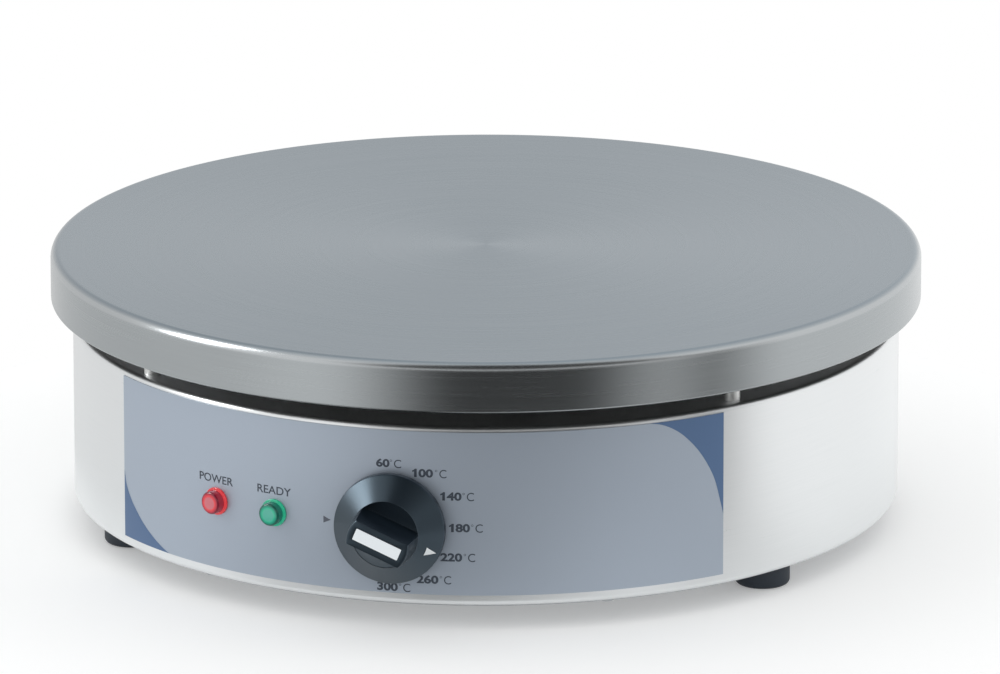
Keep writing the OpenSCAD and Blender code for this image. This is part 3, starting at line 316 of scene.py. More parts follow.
@dataclass(frozen=True)
class RampFinish(Finish):
    """Material whose colour changes from wire to wire, or with the thickness of its wall and with
    painted light through it.
    """

    guide: Guide = Guide.WALL
    stops: tuple[tuple[float, str], ...] = ()

    def extra_colour(self, tree: bpy.types.NodeTree,
                     colour: bpy.types.NodeSocket) -> bpy.types.NodeSocket:
        """Picks the colour from the ramp.

        Args:
            tree: The material's tree.
            colour: The plain colour, which isn't used.

        Returns:
            The colour socket of the ramp.
        """
        add = partial(add_node, tree)
        if self.guide is Guide.WIRE:
            share = add("ShaderNodeNewGeometry").outputs["Random Per Island"]
        else:
            share = add("ShaderNodeAttribute", attribute_name=Guide.WALL.name).outputs["Fac"]
        ramp = add("ShaderNodeValToRGB", {"Fac": share})
        ramp.color_ramp.interpolation = "CONSTANT" if self.guide is Guide.WIRE else "LINEAR"
        while len(ramp.color_ramp.elements) < len(self.stops):
            ramp.color_ramp.elements.new(0.5)
        for element, (position, code) in zip(ramp.color_ramp.elements, self.stops):
            element.position = position
            element.color = linear(code)
        return ramp.outputs[0]


# The numbers after the mark are the pattern's pitch and depth in millimetres, the roughness,
# how far it spreads over the pattern, and how metallic the surface is.
FINISHES: dict[str, Finish] = {
    # Cast iron, faced and turned, then oiled and burnt in: a satin grey with soft rings.
    "cast_plate": PlateFinish("cast iron turned and seasoned", "A6ABAD", "ADB2B4", Mark.TURNED,
                              0.9, 0.004, 0.26, 0.05, 1.0, anisotropic=0.6),
    # Stainless sheet, belt brushed: long level lines and wide soft highlights.
    "stainless": Finish("stainless sheet brushed", "E5E8E9", "ECEEEF", Mark.BRUSHED,
                        0.5, 0.003, 0.3, 0.05, 1.0, anisotropic=0.7),
    # Steel bar, fine turned and satin plated: bright, with soft highlights.
    "bright_steel": Finish("steel turned satin chrome", "E2E3E2", "EAEBEA", Mark.TURNED,
                           0.4, 0.002, 0.4, 0.04, 0.8),
    # Steel with bright zinc plating: cool grey with a faint bloom of crystals.
    "zinc": Finish("steel zinc plated", "A9ACAE", "BABDC0", Mark.SPANGLE,
                   2.2, 0.002, 0.38, 0.08, 1.0),
    # Polyester film with a metallic ink printed behind it: grey, satin, hardly any grain.
    "panel_film": Finish("polyester film metallic ink", "ADB8C5", "B3BDCA", Mark.GRAIN,
                         0.35, 0.002, 0.47, 0.03, 0.6),
    # ABS moulded in a finely etched tool: satin black with broad soft highlights.
    "knob_black": Finish("ABS moulded satin black", "0A1119", "0E161F", Mark.GRAIN,
                         0.3, 0.006, 0.33, 0.04, ior=1.84, shine="CFEBFF"),
    # White ABS, moulded in a polished tool.
    "white_plastic": Finish("ABS moulded white", "F2F8FC", "ECF2F6", Mark.GRAIN,
                            0.5, 0.003, 0.35, 0.04),
    # Polycarbonate moulded clear and tinted: colour deepens where the wall is thick; its pale face
    # middle and bright flange are painted light through the lens, and it has a faint painted glow.
    "red_lens": RampFinish("polycarbonate moulded clear red", "E8283A", "DE2034", Mark.GRAIN,
                           2.0, 0.002, 0.12, 0.03, ior=1.58, transmission=0.25, glow=0.1,
                           stops=((0, "DE7C86"), (0.3, "F84A50"), (0.6, "D83A4C"),
                                  (1, "7E1430"))),
    "green_lens": RampFinish("polycarbonate moulded clear green", "16B894", "10A685",
                             Mark.GRAIN, 2.0, 0.002, 0.12, 0.03, ior=1.58, transmission=0.25,
                             glow=0.1, stops=((0, "58BEA8"), (0.3, "30C89C"), (0.6, "1E9E84"),
                                              (1, "0A5C4E"))),
    # Glass-filled nylon: matt black with a trace of fibre.
    "black_plastic": Finish("nylon moulded black", "1A1B1D", "242527", Mark.GRAIN,
                            0.4, 0.01, 0.48, 0.06, ior=1.53),
    # Red acetal for the reset button.
    "red_plastic": Finish("acetal moulded red", "B5161B", "C01C20", Mark.GRAIN,
                          0.5, 0.003, 0.35, 0.04, ior=1.48),
    # Soda glass envelope of a neon lamp with its warm electrodes behind it.
    "neon_glass": Finish("soda glass drawn clear", "F4E4DC", "F8ECE6", Mark.DRAWN,
                         1.5, 0.001, 0.08, 0.03, ior=1.52, transmission=0.4),
    # Black natural rubber, pressed: dull, with a grey bloom.
    "rubber": Finish("rubber pressed black", "1C2530", "2A343F", Mark.GRAIN,
                     0.7, 0.02, 0.62, 0.1, ior=1.52),
    # Steatite, pressed and fired without glaze: chalky cream.
    "steatite": Finish("steatite fired unglazed", "E6DFD0", "DAD2C1", Mark.GRAIN,
                       0.6, 0.02, 0.7, 0.08),
    # Steel sheath, heated often: brown and straw oxide over grey.
    "element_sheath": Finish("steel sheath oxidised", "6E655C", "54504D", Mark.SPANGLE,
                             6.0, 0.004, 0.5, 0.1, 0.9),
    # Mineral wool pressed to a board: pale, matted, with no shine.
    "mineral_wool": Finish("mineral wool pressed", "DDD6C6", "C2BAA8", Mark.FIBRE,
                           1.2, 0.25, 0.95, 0.04),
    # Copper drawn to thin tube, a little tarnished.
    "copper": Finish("copper drawn tube", "C07A50", "A96843", Mark.DRAWN,
                     0.8, 0.004, 0.34, 0.08, 1.0),
    # Spring wire, drawn bright.
    "spring_steel": Finish("spring steel drawn bright", "B9BBBE", "C8CACC", Mark.DRAWN,
                           0.4, 0.002, 0.24, 0.05, 1.0),
    # Glass-fibre sleeve, braided and varnished.
    "wire_sleeve": RampFinish("glass fibre sleeve braided", "6B4226", "7A4E30", Mark.FIBRE,
                              0.6, 0.05, 0.7, 0.08, guide=Guide.WIRE,
                              stops=((0, "6B4226"), (1 / 3, "1F4A9E"), (2 / 3, "7A9E2A"))),
}
# Screen ink, dried on the film: flat, slightly glossy, with no edge to see.
DARK_INK = Finish("screen ink slate", "39424E", "3E4753", Mark.GRAIN, 0.3, 0.001, 0.5)
GREY_INK = Finish("screen ink grey", "585D69", "5D626E", Mark.GRAIN, 0.3, 0.001, 0.5)
BLUE_INK = Finish("screen ink blue", "5B7599", "5E789D", Mark.GRAIN, 0.3, 0.001, 0.38,
                  0.03, 0.5)
WHITE_INK = Finish("pad ink white", "DFE4E6", "E6EAEC", Mark.GRAIN, 0.3, 0.001, 0.45)


# ---- Mesh helpers ----

def new_object(name: str, data: bpy.types.ID) -> bpy.types.Object:
    """Makes an object and links it to the scene.

    Args:
        name: The object's name.
        data: Its mesh, text, camera or lamp.

    Returns:
        The object.
    """
    made = bpy.data.objects.new(name, data)
    bpy.context.scene.collection.objects.link(made)
    return made


def new_piece(name: str, points: Sequence[Sequence[float]],
              faces: Sequence[Sequence[int]], edges: Sequence[Sequence[int]] = ()
              ) -> bpy.types.Object:
    """Makes a mesh object from points in millimetres.

    Args:
        name: The object's name.
        points: Corners in millimetres.
        faces: Corner numbers of each face.
        edges: Loose edges, for a profile or a route.

    Returns:
        The new object, linked to the scene.
    """
    mesh = bpy.data.meshes.new(name)
    mesh.from_pydata([Vector(p) * MM for p in points], list(edges), list(faces))
    mesh.update()
    return new_object(name, mesh)


def bake(piece: bpy.types.Object) -> bpy.types.Object:
    """Turns a piece with modifiers into a plain mesh.

    Args:
        piece: The object, whose modifiers are applied and removed.

    Returns:
        The same object.
    """
    depsgraph = bpy.context.evaluated_depsgraph_get()
    depsgraph.update()
    mesh = bpy.data.meshes.new_from_object(piece.evaluated_get(depsgraph),
                                           depsgraph=depsgraph)
    old = piece.data
    piece.modifiers.clear()
    if piece.type == "MESH":
        piece.data = mesh
        bpy.data.meshes.remove(old)
        return piece
    name = piece.name
    bpy.data.objects.remove(piece)
    return new_object(name, mesh)


def close(piece: bpy.types.Object, sharp: float = 35.0) -> bpy.types.Object:
    """Merges doubles, points the faces outwards and smooths all but the sharp edges.

    Args:
        piece: The mesh object.
        sharp: Angle in degrees above which an edge stays sharp.

    Returns:
        The same object.
    """
    work = bmesh.new()
    work.from_mesh(piece.data)
    bmesh.ops.remove_doubles(work, verts=work.verts, dist=1e-6)
    bmesh.ops.dissolve_degenerate(work, edges=work.edges, dist=1e-7)
    bmesh.ops.recalc_face_normals(work, faces=work.faces)
    for face in work.faces:
        face.smooth = True
    work.to_mesh(piece.data)
    work.free()
    piece.data.set_sharp_from_angle(angle=math.radians(sharp))
    return piece


def wall_place(angle: float, radius: float, height: float) -> Matrix:
    """Place on the drum's wall: local X to the right, Y up and Z outwards.

    Args:
        angle: Degrees from the front towards +X.
        radius: Millimetres from the drum's axis.
        height: Millimetres above the table.

    Returns:
        The matrix from local metres to the frame.
    """
    return (Matrix.Rotation(math.radians(angle), 4, "Z")
            @ Matrix.Translation(Vector((0, -radius, height)) * MM)
            @ Matrix.Rotation(math.radians(90), 4, "X"))


def arc(cx: float, cy: float, r: float, start: float, end: float,
        steps: int) -> list[tuple[float, float]]:
    """Points on an arc, from one angle to another.

    Args:
        cx: Its centre across.
        cy: Its centre up.
        r: Its radius.
        start: First angle in degrees.
        end: Last angle in degrees.
        steps: Steps from the first to the last.

    Returns:
        The points, with both ends.
    """
    return [(cx + r * math.cos(math.radians(start + (end - start) * i / steps)),
             cy + r * math.sin(math.radians(start + (end - start) * i / steps)))
            for i in range(steps + 1)]


def slab_faces(rows: int, columns: int) -> list[list[int]]:
    """Faces of a thin slab whose two layers are grids of rows by columns.

    Args:
        rows: Rows of points in a layer.
        columns: Points in a row.

    Returns:
        Corner numbers of the faces, closed all round.
    """
    layer = rows * columns
    faces = []
    for i in range(rows - 1):
        for j in range(columns - 1):
            a, b = i * columns + j, (i + 1) * columns + j
            faces.append([a, b, b + 1, a + 1])
            faces.append([layer + a, layer + a + 1, layer + b + 1, layer + b])
    rim = ([j for j in range(columns)]
           + [i * columns + columns - 1 for i in range(1, rows)]
           + [(rows - 1) * columns + j for j in range(columns - 2, -1, -1)]
           + [i * columns for i in range(rows - 2, 0, -1)])
    for k, a in enumerate(rim):
        b = rim[(k + 1) % len(rim)]
        faces.append([a, b, layer + b, layer + a])
    return faces


def smooth_between(curve: Sequence[tuple[float, float]], x: float) -> float:
    """Height of a smooth curve through points at a place between them.

    Args:
        curve: Points in rising order of x.
        x: The place.

    Returns:
        The height there.
    """
    i = max(k for k in range(len(curve) - 1) if curve[k][0] <= x + 1e-9)
    (x1, y1), (x2, y2) = curve[i], curve[i + 1]
    x0, y0 = curve[max(i - 1, 0)]
    x3, y3 = curve[min(i + 2, len(curve) - 1)]
    m1 = (y2 - y0) / (x2 - x0)
    m2 = (y3 - y1) / (x3 - x1)
    t, h = (x - x1) / (x2 - x1), x2 - x1
    return ((2 * t ** 3 - 3 * t ** 2 + 1) * y1 + (t ** 3 - 2 * t ** 2 + t) * h * m1
            + (3 * t ** 2 - 2 * t ** 3) * y2 + (t ** 3 - t ** 2) * h * m2)


def bake_text(data: bpy.types.TextCurve) -> bpy.types.Object:
    """Turns a text curve into a plain mesh object."""
    return close(bake(new_object(data.body, data)), 40)


def merged(name: str, parts: Sequence[bpy.types.Object]) -> bpy.types.Object:
    """Joins several small meshes into one piece.

    Args:
        name: The piece's name.
        parts: Mesh objects at the origin, which are used up.

    Returns:
        The joined piece.
    """
    work = bmesh.new()
    for part in parts:
        work.from_mesh(part.data)
        bpy.data.objects.remove(part)
    mesh = bpy.data.meshes.new(name)
    work.to_mesh(mesh)
    work.free()
    return new_object(name, mesh)


def dress(piece: bpy.types.Object, finish: Finish, slot: str, body: str,
          *nodes: str) -> bpy.types.Object:
    """Gives a finished piece its material and its body, and hides the CAD nodes that it replaces.

    Args:
        piece: The mesh object.
        finish: What it is made of.
        slot: The record's material slot; not used.
        body: The CAD body that it rides on.
        nodes: CAD nodes that it replaces.

    Returns:
        The same object.
    """
    piece.data.materials.clear()
    piece.data.materials.append(finish.material())
    for face in piece.data.polygons:
        face.material_index = 0
    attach(piece, body)
    if nodes:
        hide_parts(*nodes)
    LOG.info("%s: %d faces, %s", piece.name, len(piece.data.polygons), finish.name)
    return piece


# ---- Geometry Nodes ----

class NodeShape:
    """A Geometry Nodes tree with named inputs, run on a piece and baked."""

    def __init__(self, name: str, sizes: dict[str, tuple[str, Any]]) -> None:
        """Starts the tree.

        Args:
            name: The tree's name.
            sizes: Socket type and value of each named input.
        """
        self.tree = bpy.data.node_groups.new(name, "GeometryNodeTree")
        face = self.tree.interface
        face.new_socket("Geometry", in_out="INPUT", socket_type="NodeSocketGeometry")
        face.new_socket("Geometry", in_out="OUTPUT", socket_type="NodeSocketGeometry")
        self.values: dict[str, Any] = {}
        for label, (kind, value) in sizes.items():
            socket = face.new_socket(label, in_out="INPUT", socket_type=kind)
            self.values[socket.identifier] = value
        self.start = add_node(self.tree, "NodeGroupInput")

    def add(self, kind: str, inputs: dict[Any, Any] | None = None,
            **settings: Any) -> bpy.types.Node:
        """Adds a node to this tree and returns it."""
        return add_node(self.tree, kind, inputs, **settings)

    def run(self, piece: bpy.types.Object, shape: bpy.types.NodeSocket,
            finish: Finish) -> bpy.types.Object:
        """Ends the tree, runs it on a piece and bakes the result.

        Args:
            piece: The object that takes the modifier.
            shape: The geometry that the tree has made.
            finish: The material that it is set to.

        Returns:
            The same object with a plain mesh.
        """
        real = self.add("GeometryNodeRealizeInstances", {0: shape})
        done = self.add("GeometryNodeSetMaterial", {"Geometry": real,
                                                    "Material": finish.material()})
        self.add("NodeGroupOutput", {0: done})
        modifier = piece.modifiers.new(self.tree.name, "NODES")
        modifier.node_group = self.tree
        for identifier, value in self.values.items():
            modifier[identifier] = value
        return bake(piece)


def lathe(name: str, profile: Sequence[tuple[float, float]], finish: Finish,
          segments: int = 128) -> bpy.types.Object:
    """Turns a profile about the local Z axis with Geometry Nodes.

    Args:
        name: The piece's name.
        profile: Radius and height of each corner, in millimetres.
        finish: Its material.
        segments: How many steps make the round.

    Returns:
        The turned piece, closed, in local coordinates.
    """
    piece = new_piece(name, [(r, 0, z) for r, z in profile], [],
                      [(i, i + 1) for i in range(len(profile) - 1)])
    shape = NodeShape(name + "_lathe", {"Segments": ("NodeSocketInt", segments)})
    steps = shape.start.outputs["Segments"]
    count = shape.add("GeometryNodeAttributeDomainSize", {0: shape.start.outputs[0]})
    rows = shape.add("ShaderNodeMath", {0: steps, 1: 1.0})
    grid = shape.add("GeometryNodeMeshGrid", {"Vertices X": count.outputs["Point Count"],
                                              "Vertices Y": rows})
    number = shape.add("GeometryNodeInputIndex")
    part = shape.add("ShaderNodeMath", {0: number, 1: rows}, operation="DIVIDE")
    corner = shape.add("ShaderNodeMath", {0: part}, operation="FLOOR")
    step = shape.add("ShaderNodeMath", {0: number, 1: rows}, operation="MODULO")
    share = shape.add("ShaderNodeMath", {0: step, 1: steps}, operation="DIVIDE")
    angle = shape.add("ShaderNodeMath", {0: share, 1: math.tau}, operation="MULTIPLY")
    where = shape.add("GeometryNodeInputPosition")
    pick = shape.add("GeometryNodeSampleIndex", {"Geometry": shape.start.outputs[0], "Value": where,
                                                 "Index": corner}, data_type="FLOAT_VECTOR")
    turned = shape.add("ShaderNodeVectorRotate", {"Vector": pick, "Angle": angle},
                       rotation_type="Z_AXIS")
    moved = shape.add("GeometryNodeSetPosition", {"Geometry": grid.outputs["Mesh"],
                                                  "Position": turned})
    sealed = shape.add("GeometryNodeMergeByDistance", {"Geometry": moved, "Distance": 1e-6})
    return close(shape.run(piece, sealed.outputs[0], finish))


def ring_of(name: str, form: bpy.types.Object, angles: tuple[float, float, int],
            orbit: float, finish: Finish) -> bpy.types.Object:
    """Repeats a form on a ring about the Z axis with Geometry Nodes.

    Args:
        name: The piece's name.
        form: The object to repeat, which is used up.
        angles: First angle from the front, angle between neighbours, and how many.
        orbit: Radius of the ring in millimetres.
        finish: Its material.

    Returns:
        The ring of forms as one mesh.
    """
    first, apart, count = angles
    piece = new_piece(name, [(0, 0, 0)], [])
    shape = NodeShape(name + "_ring", {
        "Form": ("NodeSocketObject", form), "Count": ("NodeSocketInt", count),
        "Orbit": ("NodeSocketFloat", orbit * MM),
        "First": ("NodeSocketFloat", math.radians(first - 90)),
        "Apart": ("NodeSocketFloat", math.radians(apart))})
    size = shape.start.outputs
    points = shape.add("GeometryNodePoints", {"Count": size["Count"]})
    number = shape.add("GeometryNodeInputIndex")
    sweep = shape.add("ShaderNodeMath", {0: number, 1: size["Apart"], 2: size["First"]},
                      operation="MULTIPLY_ADD")
    out = shape.add("ShaderNodeCombineXYZ", {"X": size["Orbit"]})
    turned = shape.add("ShaderNodeVectorRotate", {"Vector": out, "Angle": sweep},
                       rotation_type="Z_AXIS")
    placed = shape.add("GeometryNodeSetPosition", {"Geometry": points, "Position": turned})
    info = shape.add("GeometryNodeObjectInfo", {"Object": size["Form"]})
    spin = shape.add("ShaderNodeCombineXYZ", {"Z": sweep})
    copies = shape.add("GeometryNodeInstanceOnPoints", {"Points": placed,
                                                        "Instance": info.outputs["Geometry"],
                                                        "Rotation": spin})
    shape.run(piece, copies.outputs[0], finish)
    bpy.data.objects.remove(form)
    return close(piece)


def sweep(name: str, route: Sequence[Point], radius: float, finish: Finish,
          sides: int = 20) -> bpy.types.Object:
    """Sweeps a round tube along a route with Geometry Nodes.

    Args:
        name: The piece's name.
        route: Points in millimetres.
        radius: The tube's radius in millimetres.
        finish: Its material.
        sides: Faces round the tube.

    Returns:
        The tube, closed at both ends.
    """
    piece = new_piece(name, route, [], [(i, i + 1) for i in range(len(route) - 1)])
    shape = NodeShape(name + "_sweep", {"Radius": ("NodeSocketFloat", radius * MM),
                                        "Sides": ("NodeSocketInt", sides)})
    path = shape.add("GeometryNodeMeshToCurve", {0: shape.start.outputs[0]})
    ring = shape.add("GeometryNodeCurvePrimitiveCircle",
                     {"Resolution": shape.start.outputs["Sides"],
                      "Radius": shape.start.outputs["Radius"]})
    tube = shape.add("GeometryNodeCurveToMesh", {"Curve": path, "Profile Curve": ring,
                                                 "Fill Caps": True})
    return close(shape.run(piece, tube.outputs[0], finish), 50)


def carve(piece: bpy.types.Object, cutters: Sequence[bpy.types.Object],
          operation: str = "DIFFERENCE") -> bpy.types.Object:
    """Cuts shapes out of a piece and uses the cutters up.

    Args:
        piece: The closed mesh that is cut.
        cutters: Closed meshes.
        operation: What the cut keeps.

    Returns:
        The cut piece.
    """
    for cutter in cutters:
        cut = piece.modifiers.new("cut", "BOOLEAN")
        cut.operation = operation
        cut.solver = "EXACT"
        cut.object = cutter
    bake(piece)
    for cutter in cutters:
        bpy.data.objects.remove(cutter)
    return close(piece)


def prism(name: str, outline: Sequence[tuple[float, float]], z0: float,
          z1: float) -> bpy.types.Object:
    """Raises a flat outline to a closed prism.

    Args:
        name: The object's name.
        outline: Corners in millimetres.
        z0: Height of its back.
        z1: Height of its front.

    Returns:
        The prism.
    """
    n = len(outline)
    points = [(x, y, z) for z in (z0, z1) for x, y in outline]
    faces = [list(range(n))[::-1], list(range(n, 2 * n))]
    faces += [[i, (i + 1) % n, n + (i + 1) % n, n + i] for i in range(n)]
    return close(new_piece(name, points, faces))


# ---- Sub-assemblies ----

@dataclass(frozen=True)
class Drum:
    """Drum wall that carries the knob, the lights and the print."""

    radius: float = 190.0
    film_face: float = 0.45
    control_z: float = 48.4
    film_low: float = 17.1
    film_high: float = 92.6
    film_half: float = 46.6

    def bend(self, along: float, up: float, out: float) -> Vector:
        """Puts a point of the print on the film.

        Args:
            along: Millimetres along the wall to the right of the knob's axis.
            up: Millimetres above the knob's axis.
            out: Millimetres in front of the film.

        Returns:
            The point in metres.
        """
        angle = along / self.radius
        r = self.radius + self.film_face + out
        return Vector((r * math.sin(angle), -r * math.cos(angle), self.control_z + up)) * MM


@dataclass
class CadFinishes:
    """Gives every CAD node the finish of its material slot."""

    nodes: dict[str, bpy.types.Object]

    def dress(self) -> None:
        """Swaps each imported material for the finish of the same slot."""
        for name, node in sorted(self.nodes.items()):
            for slot in node.material_slots:
                key = slot.material.name.split(".")[0]
                slot.material = FINISHES[key].material()
            LOG.info("%s: %s", name, node.material_slots[0].material.name)


@dataclass
class TurnedBody:
    """Round sheet or cast part, its outside turned anew in fine even steps."""

    node: str
    slot: str
    radius: float
    low: float
    high: float
    low_edge: float
    high_edge: float
    segments: int = 512
    near: float = 0.15
    spare: float = 1.0
    band: float = 0.3

    def outside(self) -> bpy.types.Object:
        """Turns the outer form, with a narrow band beside each rounded edge.

        Returns:
            The form as a solid.
        """
        r, band = self.radius, self.band
        low_r, high_r = r - self.low_edge, r - self.high_edge
        low_z, high_z = self.low + self.low_edge, self.high - self.high_edge
        profile = ([(0, self.low), (low_r - band, self.low)]
                   + arc(low_r, low_z, self.low_edge, -90, 0, 10)
                   + [(r, low_z + band), (r, high_z - band)]
                   + arc(high_r, high_z, self.high_edge, 0, 90, 12)
                   + [(high_r - band, self.high), (0, self.high)])
        return lathe(self.node + "_turned", profile, FINISHES[self.slot], self.segments)

    def swell(self, point: Vector) -> Vector:
        """Moves a point of the outside out past the true form, and leaves any other.

        Args:
            point: The point in metres.

        Returns:
            Where it goes.
        """
        x, y, z = point / MM
        r = math.hypot(x, y)
        middle = min(max(z, self.low + self.low_edge), self.high - self.high_edge)
        edge = self.low_edge if z <= self.low + self.low_edge else self.high_edge
        across, up = r - (self.radius - edge), z - middle
        length = math.hypot(across, up)
        if across > -self.near and abs(length - edge) < self.near:
            grow = 1 + self.spare * across / length / r
            return Vector((x * grow, y * grow, z + self.spare * up / length)) * MM
        if abs(z - self.high) < self.near:
            return Vector((x, y, z + self.spare)) * MM
        if abs(z - self.low) < self.near:
            return Vector((x, y, z - self.spare)) * MM
        return point

    def build(self, nodes: dict[str, bpy.types.Object]) -> None:
        """Keeps of the turned form what a swollen copy of the CAD node covers.

        Args:
            nodes: The CAD nodes by name.
        """
        work = bmesh.new()
        work.from_mesh(nodes[self.node].data)
        bmesh.ops.remove_doubles(work, verts=work.verts, dist=1e-6)
        for v in work.verts:
            v.co = self.swell(v.co)
        inside = new_piece(self.node + "_inside", [], [])
        work.to_mesh(inside.data)
        work.free()
        normals = inside.data.attributes.get("custom_normal")
        if normals:  # kept, they would hide the sharp edges of the holes
            inside.data.attributes.remove(normals)
        piece = carve(self.outside(), [inside], "INTERSECT")
        dress(piece, FINISHES[self.slot], self.slot, "body", self.node)


@dataclass
class Knob:
    """Control knob: a skirt and cone, with a grip bar between two finger pockets."""

    drum: Drum
    skirt_r: float = 25.3
    back: float = 2.95
    rim: float = 6.95
    cone_front: float = 15.45
    face: float = 30.15
    floor: float = 10.15
    floor_wall: float = 2.2
    hollow_r: float = 17.3
    mouth_r: float = 23.1
    mouth: float = 5.45
    mound_drop: float = 0.35
    cone_in: float = 0.5
    hub_r: float = 15.3
    face_r: float = 14.25
    bar_w: float = 11.6
    pocket_gap: float = 0.05
    pocket_soft: float = 0.8
    pocket_turn: float = 3.0
    seat_long: float = 22.1
    seat_wide: float = 5.6
    seat_deep: float = 0.95
    turn: float = 23.0
    edge: float = 0.7
    steps: int = 160

    def place(self) -> Matrix:
        """Matrix from the knob's own axes, Z outwards and X along the bar, to the frame."""
        return (wall_place(0, self.drum.radius, self.drum.control_z)
                @ Matrix.Rotation(math.radians(-self.turn), 4, "Z"))

    def profile(self) -> list[tuple[float, float]]:
        """Section of the knob, from the middle of its back round to its face.

        Returns:
            Radius and height of each corner.
        """
        roof = self.floor - self.floor_wall
        foot, lip, root, crown = 0.4, 0.9, 0.75, 1.0  # radii of the rounded edges
        return ([(0, roof), (self.hollow_r, roof), (self.mouth_r, self.mouth),
                 (self.mouth_r, self.back)]
                + arc(self.skirt_r - foot, self.back + foot, foot, -90, 0, 4)
                + arc(self.skirt_r - lip, self.rim - lip, lip, 0, 48, 6)
                + arc(self.hub_r + root, self.cone_front + 0.1, root, 228, 176, 5)
                + arc(self.face_r - crown, self.face - crown, crown, 2, 90, 6)
                + [(0, self.face)])

    def slope(self) -> float:
        """Rise of the cone for each millimetre towards the axis."""
        return (self.cone_front - self.rim) / (self.skirt_r - self.cone_in - self.hub_r)

    def pocket(self, side: int) -> bpy.types.Object:
        """Shape of one finger pocket, the lower one with the cone running on as its floor.

        Args:
            side: 1 above the bar and -1 below it.

        Returns:
            The cutter.
        """
        r, low, soft = self.hub_r + self.pocket_gap, self.bar_w / 2, self.pocket_soft
        reach = math.sqrt(r * r - low * low)
        start = math.degrees(math.atan2(low, reach))
        outline = (arc(0, 0, r, start + self.pocket_turn, 180 - self.pocket_turn - start, 40)
                   + [(-reach + soft * 2, low), (reach - soft * 2, low)])
        outline = [(x * side, y * side) for x, y in outline]
        cutter = prism(f"pocket_{side}", outline, self.floor, self.face + 5)
        if side > 0:
            return cutter
        wide = self.hub_r + 2
        foot = self.cone_front - self.mound_drop - 2 * self.slope()
        mound = lathe("knob_mound", [(0, 0), (wide, 0), (wide, foot),
                                     (0, foot + wide * self.slope())],
                      FINISHES["knob_black"], self.steps)
        return carve(cutter, [mound])

    def build(self) -> None:
        """Makes the knob and the pointer printed on its cone."""
        finish = FINISHES["knob_black"]
        knob = lathe("knob_moulding", self.profile(), finish, self.steps)
        carve(knob, [self.pocket(1), self.pocket(-1)])
        x, y = self.seat_long / 2, self.seat_wide / 2
        seat = prism("insert_seat", [(-x, -y), (x, -y), (x, y), (-x, y)],
                     self.face - self.seat_deep, self.face + 2)
        carve(knob, [seat])
        soften = knob.modifiers.new("soften", "BEVEL")
        soften.width = self.edge * MM
        soften.segments = 3
        soften.limit_method = "ANGLE"
        soften.angle_limit = math.radians(50)
        bake(knob)
        close(knob, 40)
        knob.data.transform(self.place())
        dress(knob, finish, "knob_black", "knob", "thermostat_knob")
        self.pointer()

    def pointer(self, base_r: float = 19.4, tip_r: float = 23.7, half: float = 2.0) -> None:
        """Prints the white triangle on the cone, its tip outwards.

        Args:
            base_r: Distance of the triangle's base from the knob's axis.
            tip_r: Distance of its tip.
            half: Half of its width at the base.
        """
        rows, columns, thick, lift, tip_half = 8, 6, 0.04, 0.01, 0.02
        slope = self.slope()
        lean = math.atan(slope)
        points = []
        for layer in (0.0, thick):
            for i in range(rows + 1):
                r = base_r + (tip_r - base_r) * i / rows
                w = half * (1 - i / rows) + tip_half
                for j in range(columns + 1):
                    a = (2 * j / columns - 1) * w / r
                    out = layer + lift
                    rr = r + out * math.sin(lean)
                    z = (self.rim + (self.skirt_r - self.cone_in - r) * slope
                         + out * math.cos(lean))
                    points.append((rr * math.cos(a), rr * math.sin(a), z))
        faces = slab_faces(rows + 1, columns + 1)
        mark = close(new_piece("knob_pointer", points, faces), 60)
        mark.data.transform(self.place())
        dress(mark, WHITE_INK, "white_plastic", "knob")


